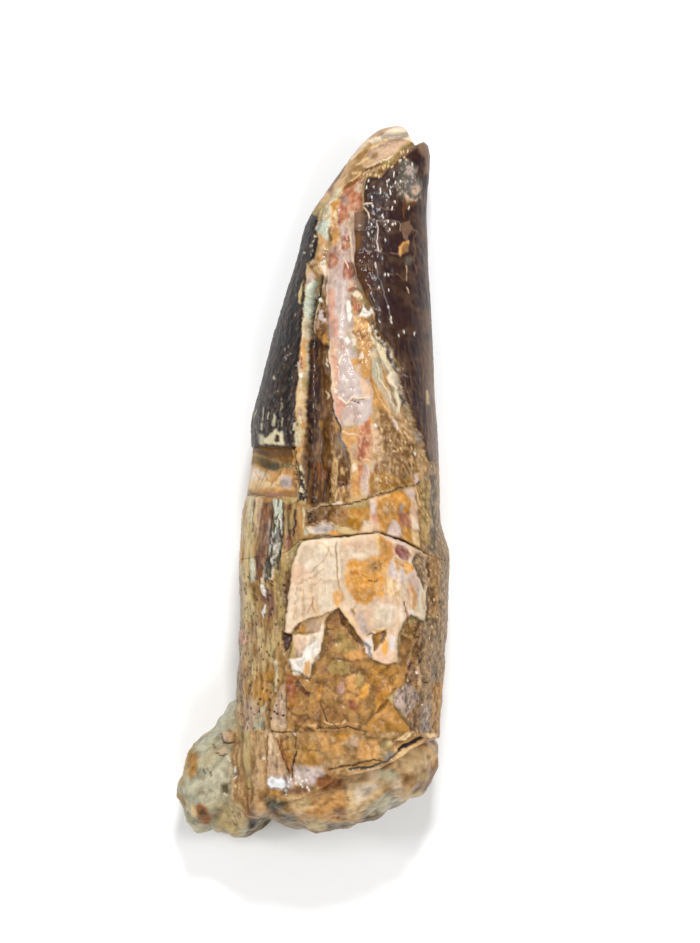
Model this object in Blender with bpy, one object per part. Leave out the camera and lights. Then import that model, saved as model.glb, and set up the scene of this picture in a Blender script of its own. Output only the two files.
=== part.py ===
"""A fossil sauropod tooth with the lump of host rock still stuck to its broken root.

The tooth lies along Y, tip at +Y. Its worn front edge faces up (+Z), its back edge rests on the
ground, and the rock's split underside is the flat foot. All lengths below are millimetres; MM
turns them into Blender's metres.
"""

import bmesh
import bpy
import numpy as np

MM = 0.001

# How finely each solid is divided
TOOTH_ROWS, TOOTH_COLUMNS = 78, 52
ROCK_ROWS, ROCK_COLUMNS = 22, 40
END_CAP_SHARES = (0.0, 0.4, 0.75)
FRONT_CROWDING = 0.42

# Driving sizes of the tooth
SECTION_POWER = 2.35
ENAMEL_THICK = 0.55
PLATE_THICK = 0.5
FLAKE_THICK = 0.3
FACET_DISH = 0.5
RIDGE_HEIGHT, RIDGE_HALF_WIDTH = 0.6, 0.9
GROOVE_DEPTH, GROOVE_HALF_WIDTH = 1.5, 1.5
BACK_GROOVE_DEPTH, BACK_GROOVE_HALF_WIDTH = 0.5, 1.8
HOLLOW_DEPTH = 0.55
NOTCH_DEPTH, NOTCH_FLOOR_Y = 2.6, 2.3
EDGE_SOFTNESS = 0.45
ROOT_LUMP, ROOT_LUMP_SIZE = 0.3, 5.0
CORE_LUMP, CORE_LUMP_SIZE = 0.5, 3.4

# Driving sizes of the rock
ROCK_CENTRE = (-2.0, -40.5)
ROCK_WAIST = 7.0
ROCK_POWER = 2.7
ROCK_SLANT = 0.12
ROCK_SINK = 1.6
SHOULDER_TOP, LEDGE_TOP = 16.0, 21.3
SHOULDER_X, LEDGE_X = -14.0, -5.0
ROCK_LUMP, ROCK_LUMP_SIZE = 1.0, 5.5
SOCKET_GAP = 0.3

# Cross-sections of the tooth from the root end to the tip: where the section sits along the
# tooth, its left and right edges, its underside and its top.
STATIONS = np.array([
    (-46.0, -9.2, 15.0, 7.0, 22.0),
    (-41.0, -10.0, 17.4, 5.4, 24.0),
    (-36.0, -10.4, 17.6, 3.6, 25.1),
    (-30.5, -10.8, 17.8, 1.8, 25.7),
    (-24.0, -10.2, 18.3, 1.0, 26.2),
    (-18.0, -10.1, 19.0, 0.9, 26.5),
    (-11.0, -10.4, 19.0, 0.9, 26.5),
    (-5.5, -9.7, 18.1, 0.7, 26.4),
    (0.0, -9.2, 17.8, 0.3, 26.2),
    (4.5, -8.6, 17.6, -0.1, 25.9),
    (8.5, -8.5, 17.4, -0.3, 25.4),
    (14.0, -7.1, 17.0, -0.3, 24.3),
    (20.0, -5.6, 16.8, -0.1, 22.6),
    (26.0, -3.8, 16.5, 0.4, 20.6),
    (32.0, -2.0, 16.2, 1.2, 18.4),
    (36.5, -0.7, 16.0, 2.0, 16.6),
    (40.5, 1.8, 16.2, 2.9, 15.0),
    (44.0, 4.2, 16.4, 3.9, 13.5),
    (46.2, 5.9, 16.4, 4.7, 12.4),
    (47.6, 7.2, 15.9, 5.3, 11.5),
    (48.7, 8.4, 14.3, 6.0, 10.7),
    (49.6, 9.9, 13.6, 6.9, 9.8),
    (50.0, 11.8, 11.8, 8.3, 8.3),
])

# Features of the front face, as seen from straight above
RIGHT_ENAMEL = [
    (14.1, 47.3), (9.6, 44.4), (7.6, 43.1), (6.8, 40.9), (6.9, 38.4), (5.5, 36.5), (5.8, 30.8),
    (7.9, 24.6), (11.8, 15.4), (13.7, 9.0), (16.5, 2.8), (19.8, 2.8), (19.8, 48.5),
]
LEFT_ENAMEL = [
    (0.9, 37.8), (0.5, 31.9), (-0.9, 27.0), (-1.9, 16.5), (-2.6, 4.8), (-12.0, 4.8), (-12.0, 26.0),
    (-3.2, 38.8),
]
WEAR_FACET = [
    (2.2, 38.6), (3.3, 40.9), (6.7, 43.0), (10.9, 45.6), (14.1, 47.3), (14.8, 52.0), (9.5, 52.0),
    (2.5, 44.4), (0.4, 39.5),
]
HOLLOW = [
    (5.7, 30.5), (7.9, 24.6), (11.8, 15.4), (13.7, 9.0), (16.2, 2.8), (13.0, -0.6), (8.3, -2.0),
    (8.9, 11.2), (5.8, 17.8), (5.0, 22.0),
]
PLATE = [
    (-1.5, -8.3), (4.6, -7.7), (9.2, -7.1), (16.0, -10.4), (15.6, -19.3), (12.0, -21.3),
    (11.6, -25.3), (8.6, -24.9), (4.6, -19.0), (2.5, -18.2), (-1.5, -19.2), (-3.7, -21.4),
    (-3.2, -13.0),
]
FLAKE = [(-2.3, -21.0), (1.9, -19.0), (0.9, -24.8), (-0.6, -27.4), (-2.7, -26.6), (-3.2, -24.0)]
NOTCH = [(-13.0, 4.8), (-2.3, 4.8), (-2.0, -2.1), (-13.0, -2.1)]
GROOVE_LINE = [(0.9, 27.5), (0.6, 21.3), (0.5, 11.5), (0.8, 4.5), (1.3, -2.5), (1.5, -6.4)]
BACK_CERVIX = np.array([(-9.0, 4.8), (-4.0, 6.2), (3.0, 4.0), (9.0, 5.6), (17.5, 2.8)])
BACK_GROOVES = [[(6.0, 38.0), (1.5, 22.0), (-0.5, 9.0)], [(13.5, 34.0), (13.0, 20.0), (13.6, 9.0)]]
RIDGE_LINE = [(4.0, 41.4), (1.6, 35.0), (-0.6, 25.5), (-1.6, 14.3), (-1.9, 4.8), (-1.9, -7.6)]

# The broken root end, left to right, and the rock's outline from above, anticlockwise
ROOT_END = np.array([
    (-10.7, -43.4), (-7.1, -45.4), (-1.8, -44.2), (3.9, -41.3), (9.5, -39.9), (12.3, -38.4),
    (16.2, -36.0), (18.7, -35.4),
])
ROCK_OUTLINE = [
    (17.6, -37.2), (10.0, -33.5), (0.0, -31.5), (-11.0, -30.8), (-13.8, -34.7), (-17.7, -38.5),
    (-19.0, -43.8), (-17.2, -48.4), (-13.7, -49.0), (-10.6, -50.1), (-5.4, -47.3), (1.3, -48.9),
    (5.5, -48.1), (9.6, -46.7), (15.1, -44.2), (17.8, -41.0),
]


# ---------------------------------------------------------------- measuring and noise

def smooth_step(low, high, value):
    """0 below low, 1 above high, and an even S between them."""
    t = np.clip((value - low) / (high - low), 0.0, 1.0)
    return t * t * (3.0 - 2.0 * t)


def line_distance(x, y, line, loop=False):
    """Distance of each point from the nearest stretch of a broken line."""
    ends = list(line) + [line[0]] if loop else list(line)
    nearest = np.full(x.shape, 1e9)
    for (ax, ay), (bx, by) in zip(ends[:-1], ends[1:]):
        along_x, along_y = bx - ax, by - ay
        t = ((x - ax) * along_x + (y - ay) * along_y) / (along_x ** 2 + along_y ** 2)
        t = np.clip(t, 0.0, 1.0)
        nearest = np.minimum(nearest, np.hypot(x - ax - t * along_x, y - ay - t * along_y))
    return nearest


def inset(x, y, outline):
    """How far each point lies inside a closed outline, and negative outside it."""
    inside = np.zeros(x.shape, bool)
    for (ax, ay), (bx, by) in zip(outline, outline[1:] + outline[:1]):
        if ay == by:
            continue
        crosses = (ay > y) != (by > y)
        inside ^= crosses & (x < (bx - ax) * (y - ay) / (by - ay) + ax)
    distance = line_distance(x, y, outline, loop=True)
    return np.where(inside, distance, -distance)


def patch(x, y, outline):
    """1 well inside an outline and 0 outside, with a narrow slope between."""
    return smooth_step(-EDGE_SOFTNESS, EDGE_SOFTNESS, inset(x, y, outline))


def lattice_value(ix, iy, iz, seed):
    """A repeatable random value from 0 to 1 for each lattice point."""
    mixed = (ix * 73856093) ^ (iy * 19349663) ^ (iz * 83492791) ^ (seed * 2654435761)
    mixed = (mixed ^ (mixed >> 13)) * 1274126177
    return ((mixed ^ (mixed >> 16)) & 0xFFFF) / 0xFFFF


def value_noise(points, size, seed):
    """Smooth noise from -1 to 1 whose bumps are about size across."""
    scaled = points / size
    whole = np.floor(scaled).astype(np.int64)
    part = scaled - whole
    part = part * part * (3.0 - 2.0 * part)
    total = np.zeros(points.shape[:-1])
    for corner in np.ndindex(2, 2, 2):
        share = np.prod(np.where(np.array(corner) == 1, part, 1.0 - part), axis=-1)
        ix, iy, iz = (whole[..., k] + corner[k] for k in range(3))
        total += share * lattice_value(ix, iy, iz, seed)
    return 2.0 * total - 1.0


def cell_lumps(points, size, seed):
    """Rounded lumps about size across, 1 at a lump's middle and 0 in the creases."""
    scaled = points / size
    whole = np.floor(scaled).astype(np.int64)
    nearest = np.full(points.shape[:-1], 9.0)
    for step in np.ndindex(3, 3, 3):
        ix, iy, iz = (whole[..., k] + step[k] - 1 for k in range(3))
        away = 0.0
        for k, lattice in enumerate((ix, iy, iz)):
            seed_point = lattice + lattice_value(ix, iy, iz, seed + 11 * k + 1)
            away = away + (scaled[..., k] - seed_point) ** 2
        nearest = np.minimum(nearest, away)
    return np.clip(1.0 - nearest, 0.0, 1.0)


# ---------------------------------------------------------------- the tooth

def station_curve(station, column):
    """A smooth curve (Catmull-Rom) through one column of the stations."""
    values = STATIONS[:, column]
    padded = np.concatenate([[2 * values[0] - values[1]], values, [2 * values[-1] - values[-2]]])
    whole = np.clip(np.floor(station).astype(int), 0, len(values) - 2)
    t = station - whole
    p0, p1, p2, p3 = (padded[whole + k] for k in range(4))
    bend = 2 * p0 - 5 * p1 + 4 * p2 - p3
    twist = 3 * p1 - p0 - 3 * p2 + p3
    return p1 + 0.5 * t * (p2 - p0 + t * (bend + t * twist))


def even_stations(count):
    """Station numbers whose sections are evenly spaced along the tooth's own outline."""
    fine = np.linspace(0, len(STATIONS) - 1, 2000)
    along = station_curve(fine, 0)
    half_width = (station_curve(fine, 2) - station_curve(fine, 1)) / 2
    travelled = np.cumsum(np.hypot(np.gradient(along), np.gradient(half_width)))
    return np.interp(np.linspace(travelled[0], travelled[-1], count), travelled, fine)


def section_angles(count):
    """Angles round a section, closer together on the front than on the back."""
    turn = 2 * np.pi * np.arange(count) / count
    return turn + FRONT_CROWDING * np.cos(turn)


def section_points(station, angle):
    """Points of the plain tooth: at each station a rounded box between its four edges."""
    left, right, under, top = (station_curve(station, k) for k in range(1, 5))
    reach = (np.abs(np.cos(angle)) ** SECTION_POWER
             + np.abs(np.sin(angle)) ** SECTION_POWER) ** (-1 / SECTION_POWER)
    x = (left + right) / 2 + (right - left) / 2 * reach * np.cos(angle)
    z = (under + top) / 2 + (top - under) / 2 * reach * np.sin(angle)
    return np.stack([x, station_curve(station, 0), z], axis=-1)


def root_end_stations(angle):
    """The station where each column of the tooth stops, along the slanting broken root end."""
    near_end = section_points(np.full(angle.shape, 1.0), angle)
    end_y = np.interp(near_end[:, 0], ROOT_END[:, 0], ROOT_END[:, 1])
    fine = np.linspace(0, len(STATIONS) - 1, 2000)
    return np.interp(end_y, station_curve(fine, 0), fine)


def outward(points):
    """Unit normals of a grid of sections that are closed along the second axis."""
    along = np.gradient(points, axis=0)
    around = np.roll(points, -1, axis=1) - np.roll(points, 1, axis=1)
    normal = np.cross(along, around)
    return normal / np.maximum(np.linalg.norm(normal, axis=-1, keepdims=True), 1e-9)


def front_relief(x, y):
    """Height of the front face's plates, grooves and hollows above the plain tooth."""
    enamel = np.maximum(patch(x, y, RIGHT_ENAMEL), patch(x, y, LEFT_ENAMEL))
    height = ENAMEL_THICK * (enamel - 1.0) * smooth_step(-9.0, -4.0, y)
    height = height + PLATE_THICK * patch(x, y, PLATE) + FLAKE_THICK * patch(x, y, FLAKE)
    height = height - PLATE_THICK * smooth_step(-5.0, -9.0, y)
    height = height - HOLLOW_DEPTH * patch(x, y, HOLLOW)
    height = height - FACET_DISH * smooth_step(0.2, 2.0, inset(x, y, WEAR_FACET))
    ridge = line_distance(x, y, RIDGE_LINE) / RIDGE_HALF_WIDTH
    height = height + RIDGE_HEIGHT * np.exp(-ridge ** 2)
    groove = line_distance(x, y, GROOVE_LINE) / GROOVE_HALF_WIDTH
    return height - GROOVE_DEPTH * np.exp(-groove ** 4)


def notch_relief(x, y):
    """Depth of the notch where a chip of the left side is gone, deepest near its upper wall."""
    floor_slope = np.interp(y, [-2.1, NOTCH_FLOOR_Y, 4.8], [0.35, 1.0, 0.8])
    return -NOTCH_DEPTH * floor_slope * patch(x, y, NOTCH)


def back_relief(x, y):
    """Depth of the back face's bare root and long grooves below its enamel."""
    cervix = np.interp(x, BACK_CERVIX[:, 0], BACK_CERVIX[:, 1])
    depth = ENAMEL_THICK * smooth_step(EDGE_SOFTNESS, -EDGE_SOFTNESS, y - cervix)
    for line in BACK_GROOVES:
        groove = line_distance(x, y, line) / BACK_GROOVE_HALF_WIDTH
        depth = depth + BACK_GROOVE_DEPTH * np.exp(-groove ** 2)
    return -depth


def lumpiness(points):
    """Rough swelling of the root and of its bare core, fading out on the smooth crown."""
    y = points[..., 1]
    root = smooth_step(6.0, -6.0, y)
    core = smooth_step(-16.0, -24.0, y)
    swelling = value_noise(points, ROOT_LUMP_SIZE, 3) * ROOT_LUMP * (0.3 + 0.7 * root)
    return swelling + CORE_LUMP * core * (cell_lumps(points, CORE_LUMP_SIZE, 5) - 0.6)


def tooth_points(clearance=0.0):
    """All sections of the finished tooth, with its root end closed to a point inside."""
    angle = section_angles(TOOTH_COLUMNS)
    sections = TOOTH_ROWS - len(END_CAP_SHARES)
    share = even_stations(sections + 1) / (len(STATIONS) - 1)
    first = root_end_stations(angle)
    last = len(STATIONS) - 1
    station = first + share[:, None] * (last - first)
    points = section_points(station, np.broadcast_to(angle, station.shape))
    normal = outward(points)
    x, y = points[..., 0], points[..., 1]
    facing = normal[..., 2]
    height = front_relief(x, y) * smooth_step(0.05, 0.45, facing)
    height = height + back_relief(x, y) * smooth_step(0.05, 0.45, -facing)
    height = height + notch_relief(x, y) * smooth_step(-0.15, 0.3, facing)
    height = (height + lumpiness(points)) * smooth_step(50.0, 48.5, y) + clearance
    points = points + normal * height[..., None]
    points[0, :, 1] -= clearance
    centre = points[0].mean(axis=0)
    end_cap = [centre + (points[0] - centre) * part for part in END_CAP_SHARES]
    points = np.concatenate([end_cap, points])
    points[..., 2] = np.maximum(points[..., 2], 0.0)
    return points


# ---------------------------------------------------------------- the rock

def rock_points():
    """The rock as a squashed ball whose plan is its outline, cut flat underneath."""
    turn = 2 * np.pi * np.arange(ROCK_COLUMNS) / ROCK_COLUMNS
    outline = np.array(ROCK_OUTLINE) - ROCK_CENTRE
    bearing = np.arctan2(outline[:, 1], outline[:, 0])
    lift = np.linspace(-np.pi / 2, np.pi / 2, ROCK_ROWS + 1)[:, None]
    bulge = (np.cos(lift) ** ROCK_POWER + np.abs(np.sin(lift)) ** ROCK_POWER) ** (-1 / ROCK_POWER)
    out, up = bulge * np.cos(lift), bulge * np.sin(lift)
    slanted = turn + ROCK_SLANT * up
    reach = np.interp(slanted, bearing, np.hypot(*outline.T), period=2 * np.pi)
    x = ROCK_CENTRE[0] + out * reach * np.cos(turn)
    y = ROCK_CENTRE[1] + out * reach * np.sin(turn)
    top = SHOULDER_TOP + (LEDGE_TOP - SHOULDER_TOP) * smooth_step(SHOULDER_X, LEDGE_X, x)
    above = ROCK_WAIST + (top - ROCK_WAIST) * up
    below = ROCK_WAIST + (ROCK_WAIST + ROCK_SINK) * up
    points = np.stack([x, y, np.where(up > 0, above, below)], axis=-1)
    lumps = cell_lumps(points, ROCK_LUMP_SIZE, 7) - 0.7
    rough = ROCK_LUMP * (lumps + 0.4 * value_noise(points, 2.2, 9))
    points = points + outward(points) * (rough * np.sqrt(np.clip(out, 0, 1)))[..., None]
    points[..., 2] = np.maximum(points[..., 2], 0.0)
    return points


# ---------------------------------------------------------------- Blender objects

def stone_material(name, colour, roughness):
    material = bpy.data.materials.new(name)
    material.use_nodes = True
    shader = material.node_tree.nodes["Principled BSDF"]
    shader.inputs["Base Color"].default_value = (*colour, 1.0)
    shader.inputs["Roughness"].default_value = roughness
    return material


def new_collection(name):
    made = bpy.data.collections.new(name)
    bpy.context.scene.collection.children.link(made)
    return made


def ball_to_solid(name, points, collection, material):
    """A UV sphere whose rows and columns of vertices are moved onto a grid of points."""
    rows, columns = points.shape[0] - 1, points.shape[1]
    mesh = bpy.data.meshes.new(name)
    ball = bmesh.new()
    bmesh.ops.create_uvsphere(ball, u_segments=columns, v_segments=rows, radius=1.0)
    for vertex in ball.verts:
        row = round((1.0 - np.arccos(np.clip(vertex.co.z, -1.0, 1.0)) / np.pi) * rows)
        column = round(np.arctan2(vertex.co.y, vertex.co.x) / (2 * np.pi) * columns) % columns
        at_pole = row in (0, rows)
        vertex.co = (points[row].mean(axis=0) if at_pole else points[row, column]) * MM
    bmesh.ops.triangulate(ball, faces=ball.faces)
    bmesh.ops.recalc_face_normals(ball, faces=ball.faces)
    ball.to_mesh(mesh)
    ball.free()
    mesh.materials.append(material)
    solid = bpy.data.objects.new(name, mesh)
    collection.objects.link(solid)
    return solid


def add_tooth(fossil):
    bone = stone_material("mineralised_tooth", (0.30, 0.17, 0.09), 0.4)
    return ball_to_solid("tooth", tooth_points(), fossil, bone)


def add_rock(fossil, cutters):
    """The host rock, with a socket cut a little larger than the root it holds."""
    stone = stone_material("host_rock", (0.42, 0.38, 0.28), 0.6)
    rock = ball_to_solid("matrix_rock", rock_points(), fossil, stone)
    socket = ball_to_solid("root_socket_cutter", tooth_points(SOCKET_GAP), cutters, stone)
    socket.hide_render = True
    socket.display_type = "WIRE"
    cut = rock.modifiers.new("root_socket", "BOOLEAN")
    cut.operation = "DIFFERENCE"
    cut.solver = "EXACT"
    cut.object = socket
    return rock


def main():
    for old in list(bpy.data.objects):
        bpy.data.objects.remove(old)
    fossil = new_collection("fossil_sauropod_tooth")
    cutters = new_collection("cutters")
    add_tooth(fossil)
    add_rock(fossil, cutters)


main()
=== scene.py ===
"""The looks of a fossil sauropod tooth that lies with its worn front edge up, in its lump of rock.

Lengths are millimetres in the model's own frame: x to the right, y towards the tip, z up. MM turns
them into Blender's metres. Colours are sRGB values from 0 to 255.
"""

import bpy
import numpy as np
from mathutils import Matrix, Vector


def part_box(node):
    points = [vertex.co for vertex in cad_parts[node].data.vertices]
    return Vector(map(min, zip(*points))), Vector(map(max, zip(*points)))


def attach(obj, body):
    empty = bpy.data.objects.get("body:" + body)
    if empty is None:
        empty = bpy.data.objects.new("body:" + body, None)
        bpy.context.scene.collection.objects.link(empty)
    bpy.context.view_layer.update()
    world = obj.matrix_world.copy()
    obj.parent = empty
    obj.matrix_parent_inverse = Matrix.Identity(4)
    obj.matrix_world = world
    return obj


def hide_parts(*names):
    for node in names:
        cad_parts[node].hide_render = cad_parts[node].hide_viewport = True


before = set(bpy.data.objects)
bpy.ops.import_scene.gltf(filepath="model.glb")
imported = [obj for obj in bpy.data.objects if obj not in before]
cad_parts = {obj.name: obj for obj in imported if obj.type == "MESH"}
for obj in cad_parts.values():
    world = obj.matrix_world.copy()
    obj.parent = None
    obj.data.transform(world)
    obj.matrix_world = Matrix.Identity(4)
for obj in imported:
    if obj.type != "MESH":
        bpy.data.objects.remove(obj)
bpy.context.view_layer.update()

MM = 0.001

# Outlines below are as seen from the camera: it looks straight down at VIEW_CENTRE, at the height
# VIEW_LEVEL, from VIEW_DISTANCE above that.
VIEW_CENTRE, VIEW_LEVEL = (5.25, 1.47), 12.5
VIEW_LENGTH = 132.0
LENS, SENSOR = 400.0, 36.0
VIEW_DISTANCE = VIEW_LENGTH * LENS / SENSOR

# ---------------------------------------------------------------- driving sizes, as in the model

SECTION_POWER = 2.35
ENAMEL_THICK = 0.55
PLATE_THICK = 0.5
FLAKE_THICK = 0.3
FACET_DISH = 0.5
RIDGE_HEIGHT, RIDGE_HALF_WIDTH = 0.6, 0.9
GROOVE_DEPTH, GROOVE_HALF_WIDTH = 1.3, 1.5
BACK_GROOVE_DEPTH, BACK_GROOVE_HALF_WIDTH = 0.5, 1.8
HOLLOW_DEPTH = 0.55
NOTCH_DEPTH = 2.6
NOTCH_FOOT_Y, NOTCH_FLOOR_Y, NOTCH_HEAD_Y = -2.1, 2.3, 4.8
ROOT_LUMP, ROOT_LUMP_SIZE = 0.3, 5.0
CORE_LUMP, CORE_LUMP_SIZE = 0.5, 3.4

ROCK_CENTRE = (-2.0, -40.5)
ROCK_WAIST = 7.0
ROCK_POWER = 2.7
ROCK_SLANT = 0.12
ROCK_SINK = 1.6
SHOULDER_TOP, LEDGE_TOP = 16.0, 21.3
SHOULDER_X, LEDGE_X = -14.0, -5.0
ROCK_LUMP, ROCK_LUMP_SIZE = 1.0, 5.5

# Cross-sections from the root end to the tip: where each sits along the tooth, its left and right
# edges, its underside and its top.
STATIONS = np.array([
    (-46.0, -9.2, 15.0, 7.0, 22.0),
    (-41.0, -10.0, 17.4, 5.4, 24.0),
    (-36.0, -10.4, 17.6, 3.6, 25.1),
    (-30.5, -10.8, 17.8, 1.8, 25.7),
    (-24.0, -10.2, 18.3, 1.0, 26.2),
    (-18.0, -10.1, 19.0, 0.9, 26.5),
    (-11.0, -10.4, 19.0, 0.9, 26.5),
    (-5.5, -9.7, 18.1, 0.7, 26.4),
    (0.0, -9.2, 17.8, 0.3, 26.2),
    (4.5, -8.6, 17.6, -0.1, 25.9),
    (8.5, -8.5, 17.4, -0.3, 25.4),
    (14.0, -7.1, 17.0, -0.3, 24.3),
    (20.0, -5.6, 16.8, -0.1, 22.6),
    (26.0, -3.8, 16.5, 0.4, 20.6),
    (32.0, -2.0, 16.2, 1.2, 18.4),
    (36.5, -0.7, 16.0, 2.0, 16.6),
    (40.5, 1.8, 16.2, 2.9, 15.0),
    (44.0, 4.2, 16.4, 3.9, 13.5),
    (46.2, 5.9, 16.4, 4.7, 12.4),
    (47.6, 7.2, 15.9, 5.3, 11.5),
    (48.7, 8.4, 14.3, 6.0, 10.7),
    (49.6, 9.9, 13.6, 6.9, 9.8),
    (50.0, 11.8, 11.8, 8.3, 8.3),
])


def tenths(numbers):
    """Points in millimetres from a list of x, y, x, y and so on in tenths of a millimetre."""
    return (np.reshape(numbers, (-1, 2)) / 10).tolist()


# Outlines and lines of the front face, as seen from straight above
RIGHT_ENAMEL = tenths([
    141, 470, 126, 462, 116, 448, 104, 437, 93, 431, 76, 426, 73, 410, 72, 389, 73, 379, 58, 377, 58, 315,
    63, 290, 73, 260, 82, 242, 89, 221, 98, 205, 112, 182, 122, 162, 125, 136, 132, 112, 142, 86, 150, 66,
    163, 28, 198, 28, 198, 485,
])
LEFT_ENAMEL = tenths([
    9, 372, 3, 354, 9, 346, 4, 324, -3, 300, -8, 282, -9, 255, -13, 230, -16, 200, -20, 165, -23, 115,
    -24, 48, -120, 48, -120, 260, -32, 388,
])
WEAR_FACET = tenths([22, 386, 33, 409, 67, 430, 109, 456, 141, 473, 148, 520, 95, 520, 25, 444, 4, 395])
HOLLOW = tenths([57, 305, 79, 246, 118, 154, 137, 90, 162, 28, 130, -6, 83, -20, 89, 112, 58, 178, 50, 220])
PLATE = tenths([
    -15, -83, 46, -76, 92, -71, 125, -81, 160, -104, 161, -140, 156, -193, 138, -185, 127, -196, 119, -212,
    118, -252, 101, -254, 86, -249, 82, -232, 71, -223, 58, -206, 46, -188, 37, -176, 31, -179, 10, -188,
    -11, -194, -25, -202, -32, -213, -38, -210, -35, -160, -28, -120,
])
BEVEL = tenths([
    -25, -202, -11, -193, 10, -187, 30, -180, 20, -190, 18, -204, 12, -211, -13, -211, -23, -209,
])
FLAKE = tenths([
    -27, -213, 12, -211, 17, -202, 19, -192, 15, -220, 10, -240, -1, -254, -5, -274, -11, -271, -16, -266,
    -29, -264, -32, -250,
])
NOTCH = tenths([-130, 48, -23, 48, -20, -21, -130, -21])
GROOVE_LINE = tenths([9, 275, 6, 213, 5, 115, 8, 45, 13, -25, 15, -64])
RIDGE_LINE = tenths([40, 414, 16, 350, -6, 255, -16, 143, -19, 48, -19, -76])
TIP_EDGE = np.array([
    (11.55, 49.98), (12.6, 49.9), (13.2, 49.3), (13.8, 48.1), (14.35, 47.1), (14.8, 47.4), (15.6, 47.7),
    (16.2, 47.2), (16.5, 45.6),
])
BACK_CERVIX = np.array([(-9.0, 4.8), (-4.0, 6.2), (3.0, 4.0), (9.0, 5.6), (17.5, 2.8)])
BACK_GROOVES = [[(6.0, 38.0), (1.5, 22.0), (-0.5, 9.0)], [(13.5, 34.0), (13.0, 20.0), (13.6, 9.0)]]

# The crack right round the tooth, where the crown piece meets the root piece
FRONT_BREAK = np.array([
    (-10.6, -10.9), (-4.0, -9.8), (-1.5, -8.0), (0.2, -7.7), (3.0, -7.6), (5.2, -7.4), (7.7, -7.1),
    (10.1, -7.1), (11.6, -7.6), (13.2, -8.1), (14.6, -8.9), (15.9, -9.8), (19.2, -11.2),
])
BACK_BREAK = np.array([
    (-10.6, -10.9), (-6.0, -9.2), (-1.0, -11.6), (4.0, -10.2), (9.0, -12.4), (14.0, -10.6), (19.2, -11.2),
])

# The broken root end, left to right, and the rock's outline from above, anticlockwise
ROOT_END = np.array([
    (-10.7, -43.4), (-7.1, -45.4), (-1.8, -44.2), (3.9, -41.3), (9.5, -39.9), (12.3, -38.4),
    (16.2, -36.0), (18.7, -35.4),
])
ROCK_OUTLINE = tenths([
    176, -372, 100, -335, 0, -315, -110, -308, -138, -347, -177, -385, -186, -422, -189, -446, -180, -459,
    -172, -479, -163, -485, -146, -483, -132, -492, -122, -493, -112, -501, -96, -496, -76, -486, -64, -475,
    -54, -473, -42, -479, -10, -484, 13, -489, 40, -483, 60, -476, 90, -467, 110, -454, 126, -450,
    142, -438, 156, -430, 173, -404, 177, -390,
])

# How finely the pieces are divided
TOOTH_COLUMNS = 320
FRONT_CROWDING = 0.5
CROWN_ROWS, ROOT_ROWS = 300, 215
ROCK_ROWS, ROCK_COLUMNS = 230, 360
CAP_SHARES = (0.3, 0.6, 0.8, 0.92)

# ---------------------------------------------------------------- colours

GLARE = (255, 255, 253)
WHITE = (246, 240, 228)
IVORY = (240, 219, 192)
SHELL = (233, 206, 174)
BLUSH = (232, 193, 160)
LILAC = (217, 196, 188)
PEARL = (228, 214, 206)
SALMON = (223, 164, 138)
MAUVE = (208, 182, 168)
ROSE = (193, 152, 135)
CORAL = (206, 132, 94)
BRICK = (168, 104, 80)
WINE = (136, 64, 52)
OXBLOOD = (92, 46, 42)
LICHEN = (206, 214, 194)
STRAW = (222, 209, 172)
BUTTER = (208, 182, 128)
MARIGOLD = (234, 164, 74)
SAFFRON = (228, 138, 36)
PUMICE = (204, 194, 166)
APRICOT = (240, 174, 86)
HONEY = (220, 164, 100)
AMBER = (204, 142, 62)
OCHRE = (188, 136, 68)
GOLD = (178, 122, 26)
RUST = (154, 96, 54)
FAWN = (204, 171, 140)
SAND = (172, 130, 80)
DUNE = (210, 170, 122)
KHAKI = (174, 146, 90)
DRAB = (154, 128, 98)
BARK = (150, 110, 70)
PLUM = (136, 98, 80)
HEATHER = (168, 150, 138)
CHOCOLATE = (72, 52, 42)
COCOA = (132, 102, 82)
UMBER = (110, 76, 44)
PITCH = (32, 25, 23)
ENAMEL_BROWN = (68, 48, 40)
ENAMEL_BLACK = (50, 41, 40)
TREACLE = (82, 54, 26)
TOFFEE = (124, 84, 48)
ASH = (142, 132, 126)
OLIVE = (150, 110, 36)
MOSS = (118, 104, 72)
CLAY = (190, 182, 152)
SLATE = (104, 98, 84)
BONE = (237, 201, 148)
GLASS = (208, 186, 156)


def linear(colour):
    """An sRGB colour from 0 to 255 as linear light from 0 to 1."""
    share = np.asarray(colour, float) / 255.0
    return np.where(share > 0.04045, ((share + 0.055) / 1.055) ** 2.4, share / 12.92)


# ---------------------------------------------------------------- measuring and noise

def smooth_step(low, high, value):
    """0 below low, 1 above high, and an even S between them."""
    t = np.clip((value - low) / (high - low), 0.0, 1.0)
    return t * t * (3.0 - 2.0 * t)


def line_distance(x, y, line, loop=False):
    """Distance of each point from the nearest stretch of a broken line."""
    ends = list(line) + [line[0]] if loop else list(line)
    nearest = np.full(x.shape, 1e9)
    for (ax, ay), (bx, by) in zip(ends[:-1], ends[1:]):
        along_x, along_y = bx - ax, by - ay
        t = ((x - ax) * along_x + (y - ay) * along_y) / (along_x ** 2 + along_y ** 2)
        t = np.clip(t, 0.0, 1.0)
        nearest = np.minimum(nearest, np.hypot(x - ax - t * along_x, y - ay - t * along_y))
    return nearest


def inset(x, y, outline):
    """How far each point lies inside a closed outline, and negative outside it."""
    inside = np.zeros(x.shape, bool)
    for (ax, ay), (bx, by) in zip(outline, outline[1:] + outline[:1]):
        if ay == by:
            continue
        crosses = (ay > y) != (by > y)
        inside ^= crosses & (x < (bx - ax) * (y - ay) / (by - ay) + ax)
    distance = line_distance(x, y, outline, loop=True)
    return np.where(inside, distance, -distance)


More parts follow.
